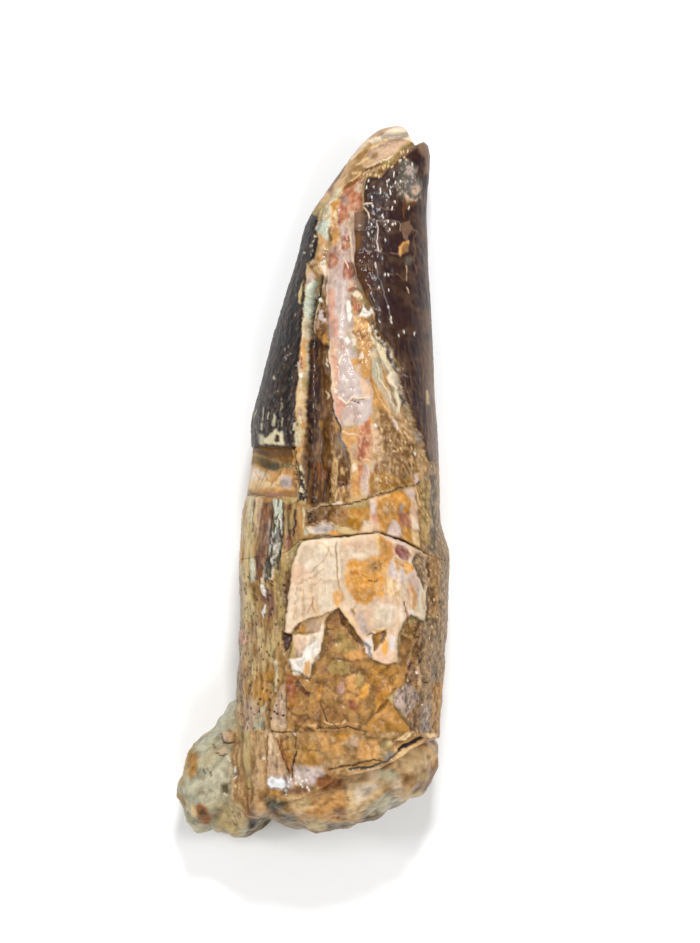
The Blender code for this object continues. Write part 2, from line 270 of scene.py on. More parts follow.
def lattice_value(ix, iy, iz, seed):
    """A repeatable random value from 0 to 1 for each lattice point."""
    mixed = (ix * 73856093) ^ (iy * 19349663) ^ (iz * 83492791) ^ (seed * 2654435761)
    mixed = (mixed ^ (mixed >> 13)) * 1274126177
    return ((mixed ^ (mixed >> 16)) & 0xFFFF) / 0xFFFF


def value_noise(points, size, seed):
    """Smooth noise from -1 to 1 whose bumps are about size across (one number, or one per axis)."""
    scaled = points / np.asarray(size, float)
    whole = np.floor(scaled).astype(np.int64)
    part = scaled - whole
    part = part * part * (3.0 - 2.0 * part)
    total = np.zeros(points.shape[:-1])
    for corner in np.ndindex(2, 2, 2):
        share = np.ones(points.shape[:-1])
        for k in range(3):
            share = share * (part[..., k] if corner[k] else 1.0 - part[..., k])
        ix, iy, iz = (whole[..., k] + corner[k] for k in range(3))
        total += share * lattice_value(ix, iy, iz, seed)
    return 2.0 * total - 1.0


def rough_noise(points, size, seed, octaves=4):
    """Fractal noise from about -1 to 1: each octave is half the size and 0.55 of the strength."""
    total, strength, reach = 0.0, 1.0, 0.0
    for octave in range(octaves):
        total = total + strength * value_noise(points, np.asarray(size) / 2 ** octave, seed + 31 * octave)
        reach += strength
        strength *= 0.55
    return total / reach * 1.6


def cell_lumps(points, size, seed, want_draw=False):
    """Rounded lumps about size across, 1 at a lump's middle and 0 in the creases.

    want_draw adds a random draw from 0 to 1 that is the same all over a lump.
    """
    scaled = points / np.asarray(size, float)
    whole = np.floor(scaled).astype(np.int64)
    nearest = np.full(points.shape[:-1], 9.0)
    draw = np.zeros(points.shape[:-1])
    for step in np.ndindex(3, 3, 3):
        ix, iy, iz = (whole[..., k] + step[k] - 1 for k in range(3))
        away = 0.0
        for k, lattice in enumerate((ix, iy, iz)):
            seed_point = lattice + lattice_value(ix, iy, iz, seed + 11 * k + 1)
            away = away + (scaled[..., k] - seed_point) ** 2
        closer = away < nearest
        nearest = np.where(closer, away, nearest)
        if want_draw:
            draw = np.where(closer, lattice_value(ix, iy, iz, seed + 77), draw)
    lumps = np.clip(1.0 - nearest, 0.0, 1.0)
    return (lumps, draw) if want_draw else lumps


# ---------------------------------------------------------------- a skin that takes relief and paint

# How far each pass of Skin.trace goes; below 1 so that steep relief settles instead of swinging
TRACE_SHARE = 0.55


class Skin:
    """A grid of surface points, rows by columns, with the relief and the finish laid on it.

    place is each point before any relief, and facing is how far it faces up, from -1 to 1. x and y
    are where it is seen from the camera, and wander a little, so that outlines come out ragged like
    broken edges. front is 1 where the outlines seen from above apply and 0 elsewhere.
    """

    WANDER = ((1.6, 0.2), (0.5, 0.1))

    def __init__(self, place, normal):
        """Starts a bare skin: no relief, black, and every finish at 0."""
        self.place, self.normal = place, normal
        self.facing = normal[..., 2]
        self.wander = sum(reach * np.stack([value_noise(place, size, 101), value_noise(place, size, 102)])
                          for size, reach in self.WANDER)
        self.front = smooth_step(-0.35, -0.05, self.facing)
        self.relief = np.zeros(self.facing.shape)
        self.x, self.y = self.seen()
        self.colour = np.zeros(self.x.shape + (3,))
        self.finish = {name: np.zeros(self.x.shape) for name in ("gloss", "grain", "fibre", "craze")}

    def seen(self):
        """Where each point of the raised surface lies on the outlines' flat plane."""
        points = self.points()
        nearer = 1.0 + (points[..., 2] - VIEW_LEVEL) / VIEW_DISTANCE
        seen_x = VIEW_CENTRE[0] + (points[..., 0] - VIEW_CENTRE[0]) * nearer + self.wander[0]
        seen_y = VIEW_CENTRE[1] + (points[..., 1] - VIEW_CENTRE[1]) * nearer + self.wander[1]
        return seen_x, seen_y

    def trace(self):
        """Moves x and y part of the way to where the relief so far has put each point."""
        seen_x, seen_y = self.seen()
        self.x = self.x + TRACE_SHARE * (seen_x - self.x)
        self.y = self.y + TRACE_SHARE * (seen_y - self.y)

    def noise(self, size, seed, octaves=4):
        """Fractal noise over the whole skin."""
        return rough_noise(self.place, size, seed, octaves)

    def close_to(self, points, margin):
        """Which points lie in the box of an outline or line, widened by margin."""
        low, high = np.min(points, axis=0) - margin, np.max(points, axis=0) + margin
        inside = (self.x > low[0]) & (self.x < high[0]) & (self.y > low[1]) & (self.y < high[1])
        return inside & (self.front > 0)

    def patch(self, outline, soft=0.1):
        """1 inside an outline and 0 outside it, changing over soft on each side."""
        mask = np.zeros(self.x.shape)
        close = self.close_to(outline, soft)
        mask[close] = smooth_step(-soft, soft, inset(self.x[close], self.y[close], outline))
        return mask * self.front

    def stroke(self, line, half_width, soft=0.07):
        """1 along a line and 0 beyond half_width from it."""
        mask = np.zeros(self.x.shape)
        close = self.close_to(line, half_width + soft)
        distance = line_distance(self.x[close], self.y[close], line)
        mask[close] = 1.0 - smooth_step(half_width - soft, half_width + soft, distance)
        return mask * self.front

    def paint(self, mask, colour, lift=0.0, **finish):
        """Lays a colour over the mask, raises it by lift, and sets whichever finishes are given."""
        if colour is not None:
            self.colour += (linear(colour) - self.colour) * mask[..., None]
        self.relief += lift * mask
        for name, value in finish.items():
            self.finish[name] += (value - self.finish[name]) * mask

    def lay(self, patches, within=1.0, **finish):
        """Paints a list of patches, each a colour, a softness, a lift and its outlines."""
        for colour, soft, lift, *outlines in patches:
            for outline in outlines:
                self.paint(self.patch(tenths(outline), soft) * within, colour, lift, **finish)

    def draw(self, pens, **finish):
        """Paints a list of pens, each a colour, a half width, a lift and the lines drawn with it."""
        for colour, half_width, lift, *strokes in pens:
            for line in strokes:
                self.paint(self.stroke(tenths(line), half_width), colour, lift, **finish)

    def dash(self, places, colour, half_width, reach, lift):
        """Paints a short dash along y at each place."""
        for x, y in places:
            self.paint(self.stroke([(x, y - reach), (x, y + reach)], half_width), colour, lift)

    def mottle(self, mask, size, seed, light, dark, amount=0.5, lift=0.05):
        """Mottles a place with one noise: light and raised where it is high, dark and sunk where low."""
        close = mask > 0.01
        field = np.zeros(mask.shape)
        field[close] = rough_noise(self.place[close], size, seed)
        self.paint(amount * mask * smooth_step(0.05, 0.45, field), light, lift)
        self.paint(amount * mask * smooth_step(-0.05, -0.45, field), dark, -lift)

    def scatter(self, mask, size, reach, seed, share, colour, lift=0.0):
        """Scatters spots over a place: each is within reach of the middle of that share of the cells."""
        close = mask > 0.01
        lumps, draw = cell_lumps(self.place[close], size, seed, want_draw=True)
        spots = np.zeros(mask.shape)
        spots[close] = smooth_step(1.0 - reach ** 2, 1.0 - 0.3 * reach ** 2, lumps) * (draw < share)
        self.paint(spots * mask, colour, lift)

    def roughen(self, mask, height, size, seed):
        """Raises and lowers a place by up to about height."""
        close = mask > 0.01
        self.relief[close] += height * mask[close] * rough_noise(self.place[close], size, seed)

    def tint(self, amount):
        """Multiplies the colour by 1 + amount."""
        self.colour *= np.clip(1.0 + amount, 0.05, 3.0)[..., None]

    def paint_crease_shade(self, strength):
        """Paints shade into the low places of the relief and a little painted highlight on its crests."""
        smooth = self.relief
        for step in (1, 2, 3):
            ends = np.pad(smooth, ((step, step), (0, 0)), mode="edge")
            rows = (ends[: -2 * step] + 2 * smooth + ends[2 * step:]) / 4
            smooth = (np.roll(rows, step, 1) + 2 * rows + np.roll(rows, -step, 1)) / 4
        self.tint(-strength * np.clip((smooth - self.relief) / 0.1, -0.35, 1.0))

    def points(self):
        """The surface with its relief."""
        return self.place + self.normal * self.relief[..., None]


# ---------------------------------------------------------------- the plain tooth

def station_curve(station, column):
    """A smooth curve (Catmull-Rom) through one column of the stations."""
    values = STATIONS[:, column]
    padded = np.concatenate([[2 * values[0] - values[1]], values, [2 * values[-1] - values[-2]]])
    whole = np.clip(np.floor(station).astype(int), 0, len(values) - 2)
    t = station - whole
    p0, p1, p2, p3 = (padded[whole + k] for k in range(4))
    bend = 2 * p0 - 5 * p1 + 4 * p2 - p3
    twist = 3 * p1 - p0 - 3 * p2 + p3
    return p1 + 0.5 * t * (p2 - p0 + t * (bend + t * twist))


def section_points(station, angle):
    """Points of the plain tooth: at each station a rounded box between its four edges.

    x = middle + half width * r * cos(angle) and z = middle + half height * r * sin(angle), where
    r = (|cos|^p + |sin|^p)^(-1/p).
    """
    left, right, under, top = (station_curve(station, k) for k in range(1, 5))
    reach = (np.abs(np.cos(angle)) ** SECTION_POWER
             + np.abs(np.sin(angle)) ** SECTION_POWER) ** (-1 / SECTION_POWER)
    x = (left + right) / 2 + (right - left) / 2 * reach * np.cos(angle)
    z = (under + top) / 2 + (top - under) / 2 * reach * np.sin(angle)
    return np.stack([x, station_curve(station, 0), z], axis=-1)


def section_normals(station, angle):
    """Unit normals of the plain tooth, from small steps along it and round it."""
    step = 1e-3
    ahead = section_points(np.minimum(station + step, len(STATIONS) - 1), angle)
    behind = section_points(np.maximum(station - step, 0), angle)
    around = section_points(station, angle + step) - section_points(station, angle - step)
    normal = np.cross(ahead - behind, around)
    return normal / np.maximum(np.linalg.norm(normal, axis=-1, keepdims=True), 1e-12)


def stations_at(angle, front_line, back_line, start_y):
    """The station where each column of the tooth meets a line drawn round it."""
    fine = np.linspace(0, len(STATIONS) - 1, 4000)
    along = station_curve(fine, 0)
    y = np.full(angle.shape, start_y)
    for _ in range(4):
        x = section_points(np.interp(y, along, fine), angle)[:, 0]
        front = np.interp(x, front_line[:, 0], front_line[:, 1])
        back = np.interp(x, back_line[:, 0], back_line[:, 1])
        y = np.where(np.sin(angle) > 0, front, back)
    return np.interp(y, along, fine)


def spread_stations(first, last, count):
    """count rows of stations for each column, evenly spaced along the tooth's own outline."""
    fine = np.linspace(0, len(STATIONS) - 1, 4000)
    along = station_curve(fine, 0)
    half_width = (station_curve(fine, 2) - station_curve(fine, 1)) / 2
    travelled = np.cumsum(np.hypot(np.gradient(along), 0.7 * np.gradient(half_width)))
    start, stop = np.interp(first, fine, travelled), np.interp(last, fine, travelled)
    share = np.linspace(0.0, 1.0, count)[:, None]
    return np.interp(start + share * (stop - start), travelled, fine)


def tooth_skins():
    """The bare skins of the crown and the root, which meet along the crack round the tooth."""
    turn = 2 * np.pi * np.arange(TOOTH_COLUMNS) / TOOTH_COLUMNS
    angle = turn + FRONT_CROWDING * np.cos(turn)
    end = stations_at(angle, ROOT_END, ROOT_END, -40.0)
    split = stations_at(angle, FRONT_BREAK, BACK_BREAK, -9.0)
    tip = np.full(angle.shape, len(STATIONS) - 1.02)
    skins = []
    for first, last, rows in ((split, tip, CROWN_ROWS), (end, split, ROOT_ROWS)):
        station = spread_stations(first, last, rows)
        around = np.broadcast_to(angle, station.shape)
        skins.append(Skin(section_points(station, around), section_normals(station, around)))
    return skins


def main_relief(skin):
    """The forms that the model has too: enamel, ridge, groove, hollow, plate, notch and lumps."""
    x, y, up = skin.x, skin.y, skin.facing
    enamel = np.maximum(skin.patch(RIGHT_ENAMEL, 0.5), skin.patch(LEFT_ENAMEL, 0.5))
    skin.facet = smooth_step(-0.15, 0.15, inset(x, y, WEAR_FACET)) * skin.front
    height = ENAMEL_THICK * (enamel - 1.0) * smooth_step(-9.0, -4.0, y)
    height += PLATE_THICK * np.maximum(skin.patch(PLATE), 0.5 * skin.patch(BEVEL))
    height += FLAKE_THICK * skin.patch(FLAKE) - PLATE_THICK * smooth_step(-5.0, -9.0, y)
    height -= HOLLOW_DEPTH * skin.patch(HOLLOW, 1.0)
    height -= FACET_DISH * smooth_step(0.2, 2.0, inset(x, y, WEAR_FACET))
    height += RIDGE_HEIGHT * np.exp(-(line_distance(x, y, RIDGE_LINE) / RIDGE_HALF_WIDTH) ** 2)
    height -= GROOVE_DEPTH * np.exp(-(line_distance(x, y, GROOVE_LINE) / GROOVE_HALF_WIDTH) ** 2.5)
    cervix = np.interp(x, BACK_CERVIX[:, 0], BACK_CERVIX[:, 1])
    skin.back_enamel = smooth_step(-0.15, 0.15, y - cervix) * (1.0 - skin.front)
    behind = ENAMEL_THICK * smooth_step(0.3, -0.3, y - cervix)
    for line in BACK_GROOVES:
        behind += BACK_GROOVE_DEPTH * np.exp(-(line_distance(x, y, line) / BACK_GROOVE_HALF_WIDTH) ** 2)
    notch_share = np.interp(y, [NOTCH_FOOT_Y, NOTCH_FLOOR_Y, NOTCH_HEAD_Y], [0.35, 1.0, 0.8])
    skin.notch = skin.patch(NOTCH, 0.15)
    root, core = smooth_step(6.0, -6.0, y), smooth_step(-16.0, -24.0, y)
    skin.relief = height * smooth_step(0.05, 0.8, up) - behind * smooth_step(0.05, 0.45, -up)
    skin.relief -= NOTCH_DEPTH * notch_share * skin.notch * smooth_step(-0.15, 0.3, up)
    skin.relief += value_noise(skin.place, ROOT_LUMP_SIZE, 3) * ROOT_LUMP * (0.3 + 0.7 * root)
    skin.relief += CORE_LUMP * core * (cell_lumps(skin.place, CORE_LUMP_SIZE, 5) - 0.6)


# ---------------------------------------------------------------- painting the crown

# Patches are a colour, a softness, a lift and one or more outlines. Lines are a colour, a half width,
# a lift and one or more lines. Their points are x, y, x, y and so on, in tenths of a millimetre.

def paint_ground(skin):
    """What lies under every patch: khaki bone in broad, soft streaks."""
    everywhere = np.ones(skin.x.shape)
    skin.paint(everywhere, KHAKI, gloss=0.5, grain=0.5, fibre=0.4)
    skin.mottle(everywhere, (1.2, 5.0, 1.2), 12, BUTTER, BARK, 0.6)
    skin.roughen(everywhere, 0.05, 0.6, 16)


AMBER_ENAMEL = [
    (COCOA, 0.7, 0, [55, 380, 72, 380, 70, 353, 55, 351]),
    (TOFFEE, 0.7, 0, [55, 348, 66, 348, 66, 330, 60, 322]),
    (TREACLE, 0.4, 0, [58, 322, 88, 322, 86, 308, 60, 306], [60, 302, 82, 302, 86, 294, 80, 286, 66, 286]),
    (UMBER, 0.4, 0, [64, 284, 80, 282, 77, 266, 68, 268]),
    (TOFFEE, 0.2, 0, [71, 263, 77, 262, 80, 251, 77, 246]),
    (TREACLE, 0.3, 0, [66, 300, 84, 300, 88, 292, 84, 285, 68, 285], [67, 281, 82, 281, 86, 274, 78, 267,
        68, 269]),
]
DUST = [123, 448, 134, 452, 146, 442, 143, 427, 153, 418, 152, 396, 130, 392, 121, 402, 117, 416, 124, 430]
ENAMEL_DUST = [
    (SLATE, 0.5, 0.03, DUST),
    (ASH, 0.3, 0.04, [131, 444, 139, 442, 145, 432, 139, 426, 149, 419, 151, 404, 140, 402, 130, 412]),
    (FAWN, 0.25, 0.03, [140, 416, 148, 415, 149, 405, 144, 402, 138, 407]),
    (FAWN, 0.2, 0.03, [129, 403, 134, 402, 137, 397, 147, 398, 146, 393, 132, 391]),
    (COCOA, 0.25, 0.03, [120, 462, 130, 469, 142, 472, 146, 469, 129, 455, 120, 455]),
    (COCOA, 0.25, 0, [147, 476, 162, 480, 166, 460, 164, 432, 158, 430, 156, 453, 149, 464]),
    (UMBER, 0.3, 0, [129, 392, 146, 393, 143, 386, 129, 381]),
    (COCOA, 0.1, 0.03, [125, 364, 136, 365, 139, 356, 133, 338, 129, 342]),
    (HONEY, 0.08, 0.05, [121, 328, 128, 336, 136, 339, 135, 332, 128, 328, 123, 314, 120, 318]),
    (BARK, 0.1, 0.05, [124, 326, 128, 333, 134, 335, 133, 322, 124, 316]),
    (SLATE, 0.3, 0, [130, 315, 142, 313, 138, 303, 131, 303]),
    (UMBER, 1.1, 0, [154, 356, 162, 356, 162, 338, 154, 340], [155, 238, 168, 238, 168, 213, 156, 212],
        [157, 196, 172, 196, 172, 162, 158, 160]),
    (UMBER, 0.4, 0, [159, 162, 173, 162, 174, 130, 162, 132]),
    (COCOA, 0.9, 0, [164, 136, 178, 136, 182, 26, 167, 26]),
    (BUTTER, 0.15, 0, [158, 126, 163, 128, 162, 108, 159, 110]),
]
# Knobs on the right enamel: each is raised, and the white dash on it is a painted glint
ENAMEL_KNOB_GLINTS = tenths([
    79, 421, 86, 412, 94, 409, 94, 405, 106, 416, 109, 408, 109, 404, 114, 432, 114, 429, 104, 421,
    107, 423, 83, 398, 85, 386, 76, 411, 110, 383, 98, 375, 100, 372, 82, 361, 105, 365, 101, 361, 112, 361,
    115, 363, 108, 354, 77, 349, 104, 340, 111, 413, 117, 420, 123, 421, 114, 392, 93, 271, 102, 289,
    107, 289, 107, 269, 105, 245, 111, 229, 112, 224, 120, 205, 127, 212, 142, 206, 135, 383, 140, 445,
    135, 465, 124, 449,
])
ENAMEL_LINES = [
    (LILAC, 0.1, 0.05, [90, 363, 92, 323]),
    (LILAC, 0.08, 0.05, [88, 308, 89, 300]),
    (ASH, 0.06, 0, [89, 300, 112, 222], [83, 245, 96, 240], [123, 148, 136, 148]),
    (HEATHER, 0.06, 0.05, [79, 370, 94, 366, 112, 367, 122, 365, 125, 360, 124, 353], [71, 328, 76, 324,
        90, 325, 95, 323, 96, 328]),
    (COCOA, 0.06, 0, [94, 321, 122, 318], [93, 292, 120, 290, 127, 284], [89, 390, 100, 383, 114, 380],
        [139, 354, 145, 349, 141, 341, 143, 328, 139, 310], [142, 310, 145, 294]),
    (SHELL, 0.12, 0.05, [73, 389, 84, 389]),
    (SHELL, 0.1, 0.05, [73, 385, 78, 378, 80, 371]),
    (TOFFEE, 0.06, 0, [128, 396, 127, 382, 129, 370], [68, 263, 82, 271, 96, 266]),
    (FAWN, 0.06, 0, [133, 302, 131, 282]),
    (FAWN, 0.08, 0.05, [133, 273, 134, 265]),
    (TOFFEE, 0.08, 0, [60, 306, 80, 304, 81, 298]),
    (CHOCOLATE, 0.06, -0.05, [57, 350, 70, 351, 82, 356, 90, 356], [62, 320, 89, 322]),
    (UMBER, 0.06, 0, [153, 176, 155, 110]),
]


def paint_enamel(skin):
    """Dark enamel: brown, glassy and crossed by pale cracks on the right, with painted glints on its knobs,
    blackish on the left.
    """
    right, left = skin.patch(RIGHT_ENAMEL), skin.patch(LEFT_ENAMEL)
    shade = np.clip(right + left + skin.back_enamel, 0.0, 1.0)
    skin.paint(shade, ENAMEL_BROWN, gloss=0.55, grain=0.04, fibre=0.15, craze=0.15)
    skin.mottle(shade, (2.2, 1.0, 2.2), 21, COCOA, PITCH, 0.22, 0.01)
    low = smooth_step(25.0, 14.0, skin.y) * shade
    skin.mottle(low, (0.3, 5.0, 0.3), 22, COCOA, PITCH, 0.35, 0.02)
    skin.roughen(shade, 0.012, (0.5, 2.5, 0.5), 24)
    skin.lay(AMBER_ENAMEL, right * smooth_step(-0.2, 0.4, skin.facing), gloss=0.2)
    skin.mottle(right * smooth_step(15.2, 16.4, skin.x), (0.7, 2.6, 0.7), 28, COCOA, PITCH, 0.75, 0.01)
    skin.lay(ENAMEL_DUST, right, gloss=0.6, grain=0.4)
    dusty = skin.patch(tenths(DUST), 0.5) * right
    skin.mottle(dusty, 0.35, 27, MAUVE, SLATE, 0.6, 0.04)
    skin.draw(ENAMEL_LINES)
    # White dashes on the knobs: painted glints
    skin.dash(ENAMEL_KNOB_GLINTS, WHITE, 0.09, 0.1, 0.12)
    skin.paint(left, ENAMEL_BLACK, gloss=0.45, grain=0.15, fibre=0.4, craze=0.0)
    skin.tint(-0.3 * left * smooth_step(18.0, 27.0, skin.y))
    skin.roughen(left, 0.06, (0.3, 1.1, 0.3), 25)
    skin.mottle(left, (0.35, 1.0, 0.35), 23, COCOA, PITCH, 0.25, 0.02)


LEFT_ENAMEL_SCARS = [
    (BUTTER, 0.08, 0.05, [-17, 266, -11, 282, -16, 250, -19, 252]),
    (STRAW, 0.15, 0.05, [-68, 53, -69, 60, -60, 64, -51, 76, -48, 68, -42, 71, -39, 51]),
    (CLAY, 0.2, 0, [-76, 66, -69, 66, -68, 52, -75, 50]),
    (CHOCOLATE, 0.1, -0.1, [-54, 57, -50, 66, -47, 64, -46, 56, -50, 54]),
    (CLAY, 0.12, 0.04, [-58, 80, -54, 96, -52, 93, -54, 79]),
]
LEFT_ENAMEL_MARKS = [
    (CLAY, 0.08, 0.05, [-79, 102, -82, 90], [-68, 104, -69, 88], [-60, 98, -61, 88]),
    (CLAY, 0.12, 0.05, [-70, 82, -72, 74], [-53, 148, -52, 145]),
    (CLAY, 0.06, 0.05, [-43, 112, -44, 102], [-42, 90, -43, 79]),
    (CLAY, 0.15, 0.05, [-26, 82, -27, 74]),
    (ASH, 0.08, 0.05, [-39, 174, -29, 180]),
    (STRAW, 0.08, 0.05, [3, 345, 5, 343], [1, 336, 3, 338]),
    (STRAW, 0.1, 0.05, [-2, 332, -1, 330]),
    (STRAW, 0.06, 0.05, [-12, 321, -10, 319]),
]


def paint_left_enamel(skin):
    """Grey flecks over the blackish half, more of them towards its foot, and cream scars there."""
    left = skin.patch(LEFT_ENAMEL)
    skin.scatter(left, (0.5, 0.9, 0.5), 0.34, 31, 0.3, SLATE, 0.04)
    skin.scatter(left, (0.6, 0.8, 0.6), 0.3, 32, 0.12, HEATHER, 0.05)
    low = left * smooth_step(17.0, 8.0, skin.y)
    skin.mottle(low, (0.25, 1.2, 0.25), 34, ASH, ENAMEL_BLACK, 0.4, 0.04)
    skin.lay(LEFT_ENAMEL_SCARS)
    skin.draw(LEFT_ENAMEL_MARKS)


FACET_PATCHES = [
    (COCOA, 0.15, 0, [20, 404, 52, 459, 50, 446, 26, 406]),
    (DUNE, 0.1, 0, [44, 432, 48, 446, 56, 460, 65, 468, 69, 466, 57, 452, 50, 436]),
    (SHELL, 0.1, 0.05, [50, 453, 64, 470, 96, 490, 96, 480, 80, 473, 54, 450]),
    (FAWN, 0.1, 0, [80, 482, 100, 499, 124, 504, 124, 494, 88, 482]),
    (IVORY, 0.08, 0.05, [88, 481, 123, 496, 133, 496, 143, 478, 142, 474, 124, 481, 104, 479, 86, 473,
        78, 475]),
    (IVORY, 0.25, 0, [121, 493, 128, 494, 133, 486, 128, 482]),
    (BLUSH, 0.08, -0.1, [80, 465, 110, 480, 123, 480, 132, 476, 112, 457, 92, 449, 80, 450, 75, 456]),
    (SAND, 0.3, 0, [82, 460, 92, 462, 93, 456, 88, 452, 80, 453]),
    (SAND, 0.2, 0, [61, 455, 76, 466, 80, 464, 68, 451, 61, 449]),
    (SAND, 0.3, 0, [49, 431, 56, 443, 64, 447, 72, 440, 54, 424]),
    (TOFFEE, 0.08, -0.05, [72, 439, 100, 447, 98, 443, 74, 433]),
    (DUNE, 0.15, 0, [72, 431, 84, 439, 96, 442, 88, 430, 78, 428]),
    (KHAKI, 0.15, 0, [96, 444, 108, 452, 124, 469, 132, 474, 142, 473, 128, 464, 106, 441, 98, 439]),
    (RUST, 0.1, 0, [50, 419, 70, 432, 74, 431, 44, 407, 44, 416]),
]
FACET_LINES = [
    (BONE, 0.1, 0.05, [82, 468, 90, 471, 98, 478, 106, 479]),
    (BUTTER, 0.08, 0.05, [84, 471, 102, 480]),
    (BONE, 0.08, 0.05, [60, 442, 79, 455], [52, 422, 58, 425, 65, 432], [66, 435, 55, 432]),
    (IVORY, 0.08, 0.05, [70, 442, 83, 444, 102, 450, 113, 459]),
    (SHELL, 0.08, 0.05, [70, 431, 80, 438]),
    (SAND, 0.1, 0, [58, 450, 66, 458, 76, 464]),
]
LIP_BEADS = tenths([
    76, 429, 81, 429, 88, 429, 92, 428, 98, 439, 101, 441, 105, 442, 106, 448, 111, 441, 122, 449, 129, 454,
    131, 450, 124, 463, 128, 464, 134, 464,
])
LIP = tenths([
    64, 426, 82, 427, 94, 427, 104, 439, 116, 446, 128, 462, 144, 474, 132, 474, 110, 457, 90, 446, 66, 442,
])


def paint_wear_facet(skin):
    """The worn tip: a smooth fawn floor, a bright cream rim, and a ragged lip along the enamel."""
    skin.paint(skin.facet, DUNE, gloss=0.6, grain=0.1, fibre=0.1, craze=0.0)
    lip = skin.patch(LIP, 0.2)
    skin.paint(lip, SAND, grain=0.4)
    skin.lay(FACET_PATCHES)
    skin.mottle(lip, 0.5, 41, BUTTER, BARK, 0.4, 0.06)
    skin.draw(FACET_LINES)
    skin.dash(LIP_BEADS, BONE, 0.12, 0.06, 0.12)


STRIP = tenths([
    9, 372, 18, 388, 21, 400, 34, 416, 46, 430, 50, 432, 44, 410, 39, 398, 39, 363, 37, 352, 40, 344,
    36, 334, 30, 330, 24, 320, 21, 310, 21, 260, 15, 259, 13, 280, 9, 264, 4, 250, 0, 232, -2, 210, -5, 160,
    -7, 110, -12, 60, -17, 30, -20, 22, -25, 38, -24, 80, -22, 120, -21, 147, -19, 160, -16, 190, -15, 224,
    -10, 230, -12, 246, -9, 264, -8, 306, 4, 313, 9, 338, 3, 355,
])
RIDGE_PATCHES = [
    (BUTTER, 0.12, 0.05, [10, 370, 9, 378, 16, 388, 20, 402, 32, 400, 16, 373]),
    (STRAW, 0.12, 0.08, [22, 379, 19, 383, 28, 397, 32, 412, 49, 431, 31, 384]),
    (STRAW, 0.15, 0.08, [13, 366, 15, 376, 21, 385, 28, 382, 28, 368, 24, 362]),
    (LICHEN, 0.12, 0.08, [2, 355, 9, 364, 26, 365, 21, 339, 18, 338]),
    (AMBER, 0.12, 0, [26, 388, 38, 394, 38, 382, 29, 379]),
    (HONEY, 0.1, 0.05, [28, 379, 36, 380, 37, 360, 37, 346, 33, 334, 28, 333, 26, 344]),
    (BONE, 0.1, 0.05, [30, 379, 35, 379, 35, 369, 31, 370]),
    (BARK, 0.1, -0.05, [25, 356, 27, 340, 23, 334, 21, 336]),
    (HONEY, 0.15, 0, [10, 346, 14, 344, 13, 328, 9, 326]),
    (DUNE, 0.12, 0.08, [13, 340, 19, 340, 21, 328, 17, 322, 13, 328]),
    (SAND, 0.15, 0, [5, 310, 8, 326, 19, 326, 21, 314, 14, 306]),
    (AMBER, 0.12, 0, [8, 321, 13, 322, 13, 312, 9, 312]),
    (BARK, 0.15, 0, [-7, 308, 6, 308, 11, 302, 10, 288, 3, 289]),
    (KHAKI, 0.12, 0, [1, 302, 8, 302, 8, 294, 2, 293]),
    (MAUVE, 0.15, 0.06, [-7, 302, 3, 288, 4, 276, 0, 272, -7, 274]),
    (BUTTER, 0.1, 0.08, [-7, 302, -3, 301, -4, 290, -7, 289]),
    (BUTTER, 0.12, 0.05, [4, 287, 9, 287, 9, 278, 5, 278]),
    (LICHEN, 0.12, 0.1, [-7, 272, 2, 282, 9, 277, -1, 230, -9, 227, -12, 245]),
    (IVORY, 0.1, 0.1, [12, 310, 18, 311, 21, 289, 16, 289]),
    (SHELL, 0.08, 0.08, [15, 290, 19, 290, 18, 272, 15, 272]),
    (ROSE, 0.08, 0, [18, 282, 21, 284, 21, 260, 18, 262]),
    (STRAW, 0.1, 0.08, [-14, 229, -10, 228, -12, 204, -16, 202]),
    (CLAY, 0.15, 0.04, [-10, 228, -2, 228, -3, 202, -10, 200]),
    (HONEY, 0.12, 0, [-16, 190, -8, 194, -8, 172, -13, 154, -17, 170]),
    (RUST, 0.1, 0, [-17, 176, -14, 174, -13, 158, -17, 160]),
    (STRAW, 0.1, 0.04, [-9, 192, -4, 196, -5, 136, -9, 136]),
    (MAUVE, 0.1, 0.04, [-20, 168, -17, 169, -16, 156, -19, 155]),
    (WHITE, 0.1, 0.1, [-21, 152, -14, 152, -16, 144, -20, 144]),
    (BUTTER, 0.12, 0.03, [-20, 144, -8, 146, -9, 129, -21, 128]),
    (BONE, 0.15, 0.08, [-22, 127, -9, 127, -9, 100, -13, 94, -23, 98]),
    (ROSE, 0.1, 0, [-18, 104, -13, 102, -14, 86, -18, 90]),
    (BUTTER, 0.12, 0.03, [-23, 90, -12, 94, -12, 66, -22, 66]),
    (AMBER, 0.1, 0, [-16, 86, -12, 88, -13, 74, -16, 72]),
    (STRAW, 0.12, 0.06, [-24, 72, -16, 68, -17, 50, -24, 50]),
    (HONEY, 0.12, 0, [-24, 48, -15, 49, -20, 23, -24, 34]),
]
STRIP_LINES_AND_SHADOW = [
    # The pitch-black line along the strip's edge beside the groove is painted shadow
    (PITCH, 0.12, -0.2, [14, 289, 10, 262, 4, 252, 0, 220, 0, 200]),
    (KHAKI, 0.1, 0.05, [10, 278, 6, 264]),
    (CHOCOLATE, 0.06, -0.05, [-24, 94, -22, 84, -23, 72]),
    (CHOCOLATE, 0.08, -0.1, [-24, 36, -20, 22, -19, -26]),
]
STRIP_FOOT = tenths([-20, 22, -16, 28, -12, 0, -9, -26, -19, -26])


def paint_ridge_strip(skin):
    """The crusted strip down the ridge between the two halves of the enamel."""
    strip = skin.patch(STRIP, 0.08)
    skin.paint(strip, DUNE, gloss=0.55, grain=0.5, fibre=0.1, craze=0.0)
    skin.lay(RIDGE_PATCHES)
    skin.mottle(strip, 0.6, 43, IVORY, BARK, 0.3, 0.07)
    foot = skin.patch(STRIP_FOOT, 0.1)
    skin.paint(foot, CHOCOLATE, gloss=0.6, grain=0.5)
    skin.mottle(foot, (0.3, 0.6, 0.3), 44, STRAW, PITCH, 0.9, 0.06)
    skin.tint(-0.14 * strip * smooth_step(17.0, 13.0, skin.y))
    skin.draw(STRIP_LINES_AND_SHADOW)


